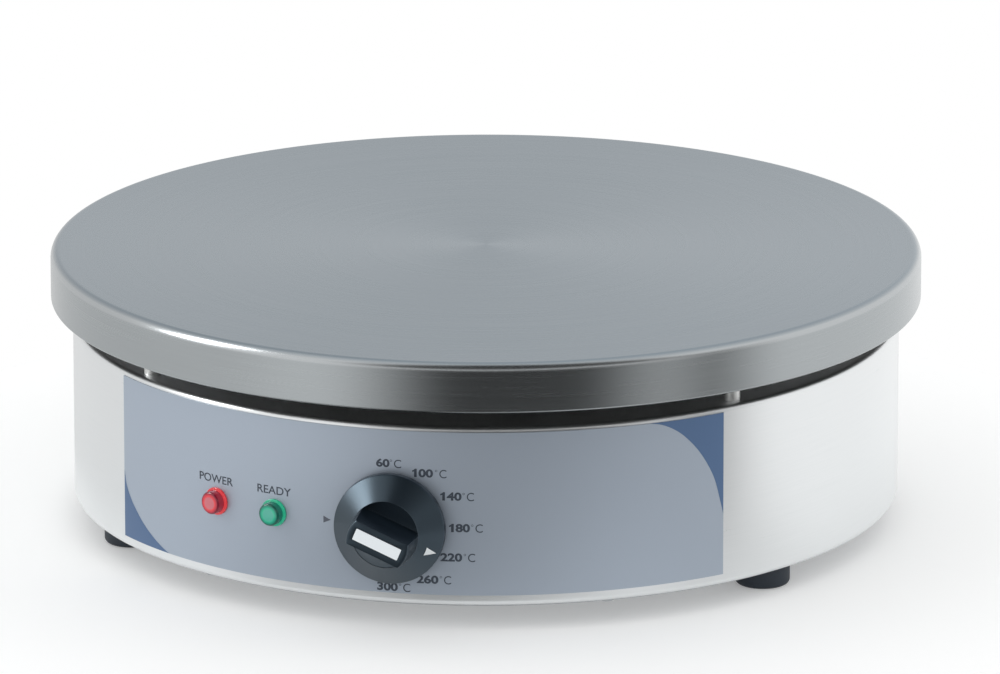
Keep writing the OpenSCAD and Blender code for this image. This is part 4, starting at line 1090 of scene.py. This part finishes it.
@dataclass
class PilotLight:
    """Snap-in pilot light: a tinted lens with a flange and a stepped face."""

    drum: Drum
    colour: str
    angle: float
    flange_r: float = 6.3
    dome_r: float = 5.2
    reach: float = 5.9
    seat: float = 0.5
    flange: float = 1.2
    neck_r: float = 4.8
    neck_wall: float = 1.0
    neck_depth: float = 12.0

    def profile(self) -> list[tuple[float, float]]:
        """Section of the lens, from the middle of its hollow round to its face.

        Returns:
            Radius and height of each corner.
        """
        inner = self.neck_r - self.neck_wall
        front = self.seat + self.flange
        foot, lip, root, crown = 0.2, 0.5, 0.3, 1.1  # radii of the rounded edges
        return ([(0, self.reach - 1.9), (1.2, self.reach - 1.8), (2.4, self.reach - 1.55)]
                + [(inner, self.reach - 1.5), (inner, -self.neck_depth),
                   (self.neck_r, -self.neck_depth), (self.neck_r, self.seat)]
                + arc(self.flange_r - foot, self.seat + foot, foot, -90, 0, 3)
                + arc(self.flange_r - lip, front - lip, lip, 0, 90, 5)
                + arc(self.dome_r + root, front + root, root, 270, 180, 4)
                + arc(self.dome_r - crown, self.reach - 1.25, crown, 0, 75, 7)
                + [(4.1, self.reach - 0.17), (3.8, self.reach - 0.14), (3.2, self.reach - 0.08),
                   (2.6, self.reach - 0.04), (0, self.reach)])

    def wall(self, r: float, z: float) -> float:
        """Thickness of plastic to look through, with painted light: a bright flange and a pale face
        middle.

        Args:
            r: Distance from the lens's axis in millimetres.
            z: Height over the drum in millimetres.

        Returns:
            A share, 0 in the middle of the face and 1 at the corner and the side.
        """
        # Painted light: the flange is set bright and the face middle pale, as light coming through
        # the lens.
        if z < self.seat + 1.3:  # the flange
            return 0.3
        if z < self.reach - 0.9:  # the side of the dome
            return 0.8
        return min(max((r - 2.6) / 1.2, 0) * 0.6, 0.6) + min(max((r - 4.0) / 0.6, 0), 1) * 0.4

    def build(self) -> None:
        """Makes the lens."""
        finish = FINISHES[f"{self.colour}_lens"]
        lens = lathe(f"{self.colour}_lens_moulding", self.profile(), finish, 72)
        walls = lens.data.attributes.new(Guide.WALL.name, "FLOAT", "POINT")
        for v, share in zip(lens.data.vertices, walls.data):
            share.value = self.wall(math.hypot(v.co.x, v.co.y) / MM, v.co.z / MM)
        lens.data.transform(wall_place(self.angle, self.drum.radius, self.drum.control_z))
        dress(lens, finish, f"{self.colour}_lens", "body", f"{self.colour}_lens")


INK_SEAT, INK = 0.005, 0.04  # back and face of the dried ink, in millimetres before the film


@dataclass(frozen=True)
class Label:
    """One piece of lettering, measured from the knob's axis in millimetres."""

    text: str
    left: float
    right: float
    base: float
    cap: float
    weight: float = 0.0


@dataclass
class PanelPrint:
    """Scale, light names and corner patches printed on the film."""

    drum: Drum
    digit_cap: float = 3.9
    unit_cap: float = 3.9
    bold: float = 0.038
    fine: float = 0.008
    one_w: float = 2.1
    one_gap: float = 0.75
    unit_drop: float = 0.1
    ring_w: float = 1.0
    ring_left: float = 1.9
    ring_up: float = 2.7
    arrow_left: float = -32.1
    arrow_up: float = 0.1
    arrow_long: float = 3.5
    arrow_half: float = 1.6
    patch_back: float = 0.003
    patch_face: float = 0.025

    # Outline of a bold figure 1, as shares of its width and height.
    ONE = ((0.42, 0), (1, 0), (1, 1), (0.55, 1), (0.42, 0.88), (0, 0.78), (0, 0.6), (0.42, 0.66))

    # Value, left, right and base line of the digits, then left and right of the unit.
    SCALE = (
        ("60", -7.2, -1.0, 26.9, 1.0, 4.3), ("100", 9.2, 18.6, 23.1, 21.4, 24.6),
        ("140", 21.8, 31.3, 12.7, 33.6, 36.8), ("180", 25.7, 35.0, -1.9, 37.4, 40.7),
        ("220", 21.8, 31.5, -15.6, 34.1, 37.3), ("260", 11.1, 20.9, -26.2, 23.4, 26.6),
        ("300", -6.9, 2.6, -30.5, 5.0, 8.3),
    )

    # Name of a pilot light, its left and right, its base line and its height.
    NAMES = (("POWER", -98.6, -79.0, 8.3, 3.8), ("READY", -65.5, -48.1, 8.4, 3.7))

    def letter(self, label: Label) -> bpy.types.Object:
        """Draws one label as a thin closed mesh bent onto the film.

        Args:
            label: The text and its box.

        Returns:
            The label's mesh.
        """
        data = bpy.data.curves.new(label.text, "FONT")
        data.body = label.text
        data.size = 1.0
        data.offset = label.weight
        data.extrude = 0.01
        data.resolution_u = 6
        piece = bake_text(data)
        xs = [v.co.x for v in piece.data.vertices]
        ys = [v.co.y for v in piece.data.vertices]
        x0, wide = min(xs), max(xs) - min(xs)
        y0, tall = min(ys), max(ys) - min(ys)
        for v in piece.data.vertices:
            along = label.left + (v.co.x - x0) / wide * (label.right - label.left)
            up = label.base + (v.co.y - y0) / tall * label.cap
            v.co = self.drum.bend(along, up, INK if v.co.z > 0 else INK_SEAT)
        return piece

    def one(self, left: float, base: float) -> bpy.types.Object:
        """Draws a bold flagged figure 1, which the built-in lettering has only as a stroke.

        Args:
            left: Its left edge in millimetres from the knob's axis.
            base: Its base line.

        Returns:
            The figure's mesh.
        """
        outline = [(left + x * self.one_w, base + y * self.digit_cap) for x, y in self.ONE]
        piece = prism("figure_one", outline, 0, 1)
        for v in piece.data.vertices:
            along, up = v.co.x / MM, v.co.y / MM
            v.co = self.drum.bend(along, up, INK if v.co.z > 0 else INK_SEAT)
        return piece

    def build(self) -> None:
        """Makes all the print."""
        parts = []
        for text, left, right, base, unit_left, unit_right in self.SCALE:
            if text.startswith("1"):
                parts.append(self.one(left, base))
                text, left = text[1:], left + self.one_w + self.one_gap
            ring = unit_left - self.ring_left
            for label in (
                    Label(text, left, right, base, self.digit_cap, self.bold),
                    Label("C", unit_left, unit_right, base - self.unit_drop, self.unit_cap),
                    Label("o", ring, ring + self.ring_w, base + self.ring_up, self.ring_w)):
                parts.append(self.letter(label))
        for name in self.NAMES:
            parts.append(self.letter(Label(*name, self.fine)))
        dress(merged("scale_print", parts), DARK_INK, "panel_film", "body")
        self.arrow()
        self.corners()

    def arrow(self) -> None:
        """Prints the off mark, a triangle that points at the knob."""
        n, tip_half = 6, 0.01
        points = []
        for out in (INK_SEAT, INK):
            for i in range(n + 1):
                half = self.arrow_half * (1 - i / n) + tip_half
                x = self.arrow_left + self.arrow_long * i / n
                points += [self.drum.bend(x, self.arrow_up + half * s, out) / MM
                           for s in (-1, 0, 1)]
        piece = close(new_piece("off_mark", points, slab_faces(n + 1, 3)), 60)
        dress(piece, GREY_INK, "panel_film", "body")

    def corners(self) -> None:
        """Prints the two blue corner patches."""
        low = self.drum.film_low - self.drum.control_z + 0.05
        high = self.drum.film_high - self.drum.control_z - 0.05
        edge = math.radians(self.drum.film_half) * self.drum.radius - 0.1
        right = [(117.2, high), (121.8, 43.2), (126.1, 41.5), (131.4, 38.3), (136.2, 34.1),
                 (140.4, 29.5), (144.0, 24.6), (147.2, 19.2), (149.9, 13.4), (152.0, 6.4),
                 (edge, -3.0)]
        left = [(-edge, 0.0), (-152.4, -7.1), (-148.0, -13.2), (-142.9, -18.0),
                (-137.9, -22.0), (-132.6, -25.3), (-127.3, -28.1), (-121.9, -30.4),
                (-119.0, low)]
        self.patch("corner_patch_right", right, high)
        self.patch("corner_patch_left", left, low)

    def patch(self, name: str, curve: Sequence[tuple[float, float]], level: float) -> None:
        """Fills the space between a curve and a level edge.

        Args:
            name: The piece's name.
            curve: Points along the wall and up, from left to right.
            level: Height of the straight edge.
        """
        columns, rows = 90, 5
        points = []
        for out in (self.patch_back, self.patch_face):
            for i in range(columns + 1):
                x = curve[0][0] + (curve[-1][0] - curve[0][0]) * i / columns
                y = smooth_between(curve, x)
                low, high = min(y, level), max(y, level) + 0.001
                points += [self.drum.bend(x, low + (high - low) * k / (rows - 1), out) / MM
                           for k in range(rows)]
        piece = close(new_piece(name, points, slab_faces(columns + 1, rows)), 60)
        dress(piece, BLUE_INK, "panel_film", "body")


@dataclass
class ScrewRing:
    """Cross-recessed screws on a ring, their heads downwards."""

    name: str
    node: str
    first: float
    apart: float
    count: int
    orbit: float
    head_r: float
    head_low: float
    head_high: float
    shank_r: float
    top: float
    recess: float
    tip: float = 0.6

    def form(self) -> bpy.types.Object:
        """Makes one screw at the origin.

        Returns:
            The screw with its recess.
        """
        r, low, high = self.head_r, self.head_low, self.head_high
        soft = min(0.7, (high - low) * 0.55)
        screw = lathe(self.name + "_form", [(0, low), (r * 0.45, low)]
                      + arc(r - soft, low + soft, soft, -84, 0, 5)
                      + [(r, high), (self.shank_r, high), (self.shank_r, self.top - self.tip),
                         (self.shank_r - self.tip, self.top), (0, self.top)],
                      FINISHES["zinc"], 40)
        arm, half = r * 0.58, r * 0.11
        cross = [(-arm, -half), (-half, -half), (-half, -arm), (half, -arm), (half, -half),
                 (arm, -half), (arm, half), (half, half), (half, arm), (-half, arm),
                 (-half, half), (-arm, half)]
        return carve(screw, [prism(self.name + "_cross", cross, low - 1, low + self.recess)])

    def build(self) -> None:
        """Repeats the screw round the ring."""
        ring = ring_of(self.name, self.form(), (self.first, self.apart, self.count),
                       self.orbit, FINISHES["zinc"])
        dress(ring, FINISHES["zinc"], "zinc", "body", self.node)


@dataclass
class HeatingCoil:
    """Tubular element: three loops joined by two bends, its ends turned down."""

    ceiling: float = 115.0
    radius: float = 3.25
    loops: tuple[float, float, float] = (150.0, 110.0, 70.0)
    gap: float = 12.0
    bend: float = 10.0
    low: float = 87.0
    loop_steps: int = 120
    bend_step: float = 9.0

    def point(self, r: float, angle: float, side: float = 0.0, up: float = 0.0) -> Point:
        """Point of the centre line.

        Args:
            r: Millimetres from the plate's axis.
            angle: Degrees from +Y.
            side: Millimetres moved sideways.
            up: Millimetres moved up.

        Returns:
            The point in millimetres.
        """
        a = math.radians(angle + 90)
        return (r * math.cos(a) - side * math.sin(a), r * math.sin(a) + side * math.cos(a),
                self.ceiling + up)

    def elbow(self, r: float, angle: float, side: int) -> list[Point]:
        """Quarter bend from a terminal up to a loop, short of the loop's first point."""
        return [self.point(r, angle, side * self.bend * math.cos(t), self.bend * (math.sin(t) - 1))
                for t in (math.radians(self.bend_step * i) for i in range(9))]

    def loop(self, r: float, start: float, end: float) -> list[Point]:
        """One loop, from one angle to another."""
        return [self.point(r, start + (end - start) * i / self.loop_steps)
                for i in range(self.loop_steps + 1)]

    def hairpin(self, r0: float, r1: float, angle: float, side: int) -> list[Point]:
        """Half turn from one loop to the next, without its ends.

        Args:
            r0: Radius of the loop that it leaves.
            r1: Radius of the loop that it joins.
            angle: Where both end, in degrees from +Y.
            side: 1 or -1, the way that it bulges.

        Returns:
            The points of the turn.
        """
        return [self.point((r0 + r1) / 2 + (r0 - r1) / 2 * math.cos(t), angle,
                           side * (r0 - r1) / 2 * math.sin(t))
                for t in (math.radians(self.bend_step * i) for i in range(1, 20))]

    def route(self) -> list[Point]:
        """Centre line of the whole element.

        Returns:
            Its points, from one terminal to the other.
        """
        outer, middle, inner = self.loops
        gap, drop = self.gap, self.low - self.ceiling
        return ([self.point(outer, gap, -self.bend, drop)] + self.elbow(outer, gap, -1)
                + self.loop(outer, gap, 360 - gap) + self.hairpin(outer, middle, -gap, 1)
                + self.loop(middle, 360 - gap, gap) + self.hairpin(middle, inner, gap, -1)
                + self.loop(inner, gap, 360 - gap) + self.elbow(inner, -gap, 1)[::-1]
                + [self.point(inner, -gap, self.bend, drop)])

    def build(self) -> None:
        """Makes the element."""
        finish = FINISHES["element_sheath"]
        coil = sweep("element_tube", self.route(), self.radius, finish)
        dress(coil, finish, "element_sheath", "body", "heating_element")


@dataclass
class ResetSpring:
    """Coil spring of the reset button, which shortens as the button goes in."""

    wire_r: float = 0.3
    turns: int = 5
    steps: int = 24
    travel: float = 2.0

    def build(self) -> None:
        """Winds the spring in the room of its CAD node."""
        low, high = (Vector(corner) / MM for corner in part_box("reset_spring"))
        middle = (low + high) / 2
        radius = (high.x - low.x) / 2 - self.wire_r
        foot, rise = low.z + self.wire_r, high.z - low.z - 2 * self.wire_r
        count = self.turns * self.steps
        turn = math.tau / self.steps
        route = [(middle.x + radius * math.cos(turn * i), middle.y + radius * math.sin(turn * i),
                  foot + rise * i / count) for i in range(count + 1)]
        finish = FINISHES["spring_steel"]
        coil = sweep("reset_spring_wire", route, self.wire_r, finish, sides=10)
        dress(coil, finish, "spring_steel", "body", "reset_spring")
        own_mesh(coil)


# ---- Studio ----

@dataclass(frozen=True)
class Shade:
    """A darker part of the studio, as a patch of the sky seen from the object."""

    azimuth: float
    half: float
    soft: float
    low: float
    high: float
    keep: float
    fade: float = 16.0

    def dim(self, tree: bpy.types.NodeTree, azimuth: bpy.types.NodeSocket,
            height: bpy.types.NodeSocket, turn: float) -> bpy.types.NodeSocket:
        """Adds the patch to the sky.

        Args:
            tree: The world's tree.
            azimuth: Direction of the ray about the upright axis, in radians from the front.
            height: Its height above level, in radians.
            turn: Direction of the camera in degrees.

        Returns:
            What share of the light is left, from keep to 1.
        """
        add = partial(add_node, tree)

        def step(value: bpy.types.NodeSocket, edge: float, soft: float,
                 rising: bool) -> bpy.types.NodeSocket:
            """Adds a soft step at an angle.

            Args:
                value: The ray's angle in radians.
                edge: Angle of the step in degrees.
                soft: Its width in degrees.
                rising: Whether it goes from 0 to 1, and not from 1 to 0.

            Returns:
                The socket of the step.
            """
            return add("ShaderNodeMapRange", {"Value": value,
                                              "From Min": math.radians(edge - soft / 2),
                                              "From Max": math.radians(edge + soft / 2),
                                              "To Min": 1.0 - rising, "To Max": float(rising)},
                       interpolation_type="SMOOTHSTEP").outputs[0]

        off = add("ShaderNodeMath", {0: azimuth, 1: math.radians(turn + self.azimuth)},
                  operation="SUBTRACT")
        short = add("ShaderNodeMath", {0: off, 1: math.pi, 2: -math.pi}, operation="WRAP")
        away = add("ShaderNodeMath", {0: short}, operation="ABSOLUTE")
        mask = step(away.outputs[0], self.half, self.soft, False)
        for other in (step(height, self.low, self.fade, True),
                      step(height, self.high, self.fade, False)):
            mask = add("ShaderNodeMath", {0: mask, 1: other}, operation="MULTIPLY").outputs[0]
        return add("ShaderNodeMath", {0: mask, 1: self.keep - 1, 2: 1.0},
                   operation="MULTIPLY_ADD").outputs[0]


def view_axes(ahead: Vector) -> tuple[Vector, Vector]:
    """Directions to the right and up in a level view ahead."""
    right = ahead.cross(Vector((0, 0, 1))).normalized()
    return right, right.cross(ahead)


@dataclass
class Studio:
    """Camera, floor, lamp and the light all round."""

    turn: float = 12.73
    rise: float = 0.269188
    distance: float = 5.0
    aim_z: float = 0.127
    pan: float = 0.00128330
    tilt: float = -0.00853527
    roll: float = -0.00074870
    lens: float = 391.68
    sensor: float = 36.0
    level: float = 0.95
    floor_r: float = 330.0
    floor_lift: float = 0.25
    floor_drop: float = 0.2
    paper: tuple[str, str] = ("E9EAEA", "EEEFEF")
    paper_grain: float = 2.5
    floor_dark: str = "202020"
    floor_dark_from: float = 210.0
    floor_dark_to: float = 250.0
    lamp_wide: float = 0.35
    lamp_high: float = 0.7
    lamp_power: float = 6.6
    lamp_place: Point = (-1.062, -0.445, 0.756)
    lamp_aim: Point = (0.0, 0.0, 0.1)
    # Dark camera side, dark ceiling before it, a stand, and the dimmer left-hand wall.
    shades: tuple[Shade, ...] = (
        Shade(8, 34, 38, -60, 15, 0.05), Shade(9, 46, 24, 27, 100, 0.04),
        Shade(62, 10, 30, -40, 34, 0.25), Shade(-120, 58, 30, -60, 60, 0.8))
    # Darker parts of the floor, painted dark only where gloss mirrors it: before the object, to its
    # right and to its left.
    floor_shades: tuple[Shade, ...] = (
        Shade(-18, 26, 40, -60, 34, 0.1), Shade(45, 14, 24, -60, 34, 0.75),
        Shade(-120, 58, 30, -60, 60, 0.8))

    def camera(self) -> None:
        """Places the camera."""
        turn = math.radians(self.turn)
        aim = Vector((0, 0, self.aim_z))
        back = Vector((math.sin(turn) * math.cos(self.rise),
                       -math.cos(turn) * math.cos(self.rise), math.sin(self.rise)))
        ahead = -back
        right, up = view_axes(ahead)
        ahead = (ahead * math.cos(self.pan) * math.cos(self.tilt)
                 + right * math.sin(self.pan) * math.cos(self.tilt) + up * math.sin(self.tilt))
        right, up = view_axes(ahead)
        c, s = math.cos(self.roll), math.sin(self.roll)
        right, up = right * c + up * s, up * c - right * s
        data = bpy.data.cameras.new("camera")
        data.sensor_width = self.sensor
        data.lens = self.lens
        data.clip_start, data.clip_end = 0.1, 50
        camera = new_object("camera", data)
        camera.matrix_world = Matrix.Translation(aim + back * self.distance) @ Matrix(
            (right, up, -ahead)).transposed().to_4x4()
        bpy.context.scene.camera = camera

    def all_round(self, tree: bpy.types.NodeTree, where: bpy.types.NodeSocket,
                  shades: Sequence[Shade]) -> bpy.types.NodeSocket:
        """Adds the dark parts of the studio.

        Args:
            tree: The tree of the world or of the floor.
            where: Direction from the object, of length 1 in the sky.
            shades: The dark parts.

        Returns:
            What share of the light is left in that direction.
        """
        add = partial(add_node, tree)
        axes = add("ShaderNodeSeparateXYZ", {0: where}).outputs
        ahead = add("ShaderNodeMath", {0: axes["Y"], 1: -1.0}, operation="MULTIPLY")
        azimuth = add("ShaderNodeMath", {0: axes["X"], 1: ahead}, operation="ARCTAN2").outputs[0]
        height = add("ShaderNodeMath", {0: axes["Z"]}, operation="ARCSINE").outputs[0]
        light: Any = 1.0
        for shade in shades:
            kept = shade.dim(tree, azimuth, height, self.turn)
            light = add("ShaderNodeMath", {0: light, 1: kept}, operation="MULTIPLY").outputs[0]
        return light

    def world(self) -> None:
        """Builds the light all round: white, with the studio's dark parts seen in gloss."""
        world = bpy.data.worlds.new("studio")
        bpy.context.scene.world = world
        tree = bare_tree(world)
        add = partial(add_node, tree)
        where = add("ShaderNodeTexCoord").outputs["Generated"]
        light = self.all_round(tree, where, self.shades)
        seen = add("ShaderNodeLightPath").outputs
        clear = add("ShaderNodeMath", {0: seen["Is Camera Ray"], 1: seen["Is Transmission Ray"]},
                    operation="MAXIMUM")
        plain = add("ShaderNodeMix", {0: clear, 2: self.level, 3: 1.0}, data_type="FLOAT")
        strength = add("ShaderNodeMix", {0: seen["Is Glossy Ray"], 2: plain, 3: light},
                       data_type="FLOAT")
        glow = add("ShaderNodeBackground", {"Color": WHITE, "Strength": strength})
        add("ShaderNodeOutputWorld", {"Surface": glow})

    def floor_paper(self) -> bpy.types.Material:
        """Builds the floor's white paper, some of it darker where gloss mirrors it.

        Returns:
            The material.
        """
        made = bpy.data.materials.new("white paper sweep")
        tree = bare_tree(made)
        add = partial(add_node, tree)
        seen = add("ShaderNodeLightPath").outputs
        place = add("ShaderNodeTexCoord").outputs["Object"]
        shown = add("ShaderNodeMath", {0: seen["Is Camera Ray"], 1: seen["Is Glossy Ray"]},
                    operation="MAXIMUM")
        shown = add("ShaderNodeMath", {0: shown, 1: seen["Is Transmission Ray"]},
                    operation="MAXIMUM")
        lift = add("ShaderNodeMath", {0: shown, 1: self.floor_lift}, operation="MULTIPLY")
        glow = add("ShaderNodeEmission", {"Color": WHITE, "Strength": lift})
        grain = add("ShaderNodeTexNoise", {"Vector": place, "Scale": 1 / (self.paper_grain * MM)})
        tint = add("ShaderNodeMix", {0: grain, 6: linear(self.paper[0]),
                                     7: linear(self.paper[1])}, data_type="RGBA")
        matt = add("ShaderNodeBsdfDiffuse", {"Color": tint.outputs[2]})
        light = add("ShaderNodeAddShader", {0: matt, 1: glow})
        out = add("ShaderNodeVectorMath", {0: place}, operation="LENGTH").outputs["Value"]
        beyond = add("ShaderNodeMapRange", {"Value": out, "From Min": self.floor_dark_from * MM,
                                            "From Max": self.floor_dark_to * MM})
        share = self.all_round(tree, place, self.floor_shades)
        dark = add("ShaderNodeMath", {0: 1.0, 1: share}, operation="SUBTRACT")
        for limit in (beyond, seen["Is Glossy Ray"]):
            dark = add("ShaderNodeMath", {0: dark, 1: limit}, operation="MULTIPLY")
        shade = add("ShaderNodeBsdfDiffuse", {"Color": linear(self.floor_dark)})
        mixed = add("ShaderNodeMixShader", {0: dark, 1: light, 2: shade})
        add("ShaderNodeOutputMaterial", {"Surface": mixed})
        return made

    def floor(self) -> None:
        """Makes the pale floor, a wide disc just under the feet."""
        n, radius = 128, self.floor_r
        rim = [(radius * math.cos(math.tau * i / n), radius * math.sin(math.tau * i / n),
                -self.floor_drop) for i in range(n)]
        floor = new_piece("floor", rim, [list(range(n))])
        floor.data.materials.append(self.floor_paper())

    def lamp(self) -> None:
        """Stands one tall softbox to the upper left, which glints on the knob and lenses."""
        data = bpy.data.lights.new("softbox", "AREA")
        data.shape = "RECTANGLE"
        data.size, data.size_y = self.lamp_wide, self.lamp_high
        data.energy = self.lamp_power
        lamp = new_object("softbox", data)
        lamp.visible_diffuse = False
        lamp.location = self.lamp_place
        ahead = Vector(self.lamp_aim) - lamp.location
        lamp.rotation_euler = ahead.to_track_quat("-Z", "Y").to_euler()

    def build(self) -> None:
        """Sets up the whole studio."""
        self.camera()
        self.world()
        self.floor()
        self.lamp()
        bpy.context.scene.view_settings.view_transform = "Standard"


def main() -> None:
    """Builds the studio and every sub-assembly round the CAD frame."""
    logging.basicConfig(level=logging.INFO, format="%(name)s %(message)s")
    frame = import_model()
    Studio().build()
    CadFinishes(frame["nodes"]).dress()
    drum = Drum()
    TurnedBody("griddle_plate", "cast_plate", radius=200, low=104.3, high=127, low_edge=1,
               high_edge=4).build(frame["nodes"])
    TurnedBody("body_shell", "stainless", radius=190, low=12, high=95, low_edge=2.5,
               high_edge=2.4).build(frame["nodes"])
    Knob(drum).build()
    PilotLight(drum, "red", angle=-26.6).build()
    PilotLight(drum, "green", angle=-17.1).build()
    PanelPrint(drum).build()
    ScrewRing("base_screw_set", "base_screws", first=30, apart=60, count=6, orbit=181,
              head_r=3.5, head_low=9.8, head_high=11.0, shank_r=1.95, top=17.0,
              recess=0.8).build()
    ScrewRing("foot_screw_set", "foot_screws", first=60, apart=120, count=3, orbit=170,
              head_r=4.5, head_low=2.0, head_high=5.0, shank_r=2.5, top=18.0,
              recess=1.6).build()
    HeatingCoil().build()
    ResetSpring().build()


if __name__ == "__main__":
    main()
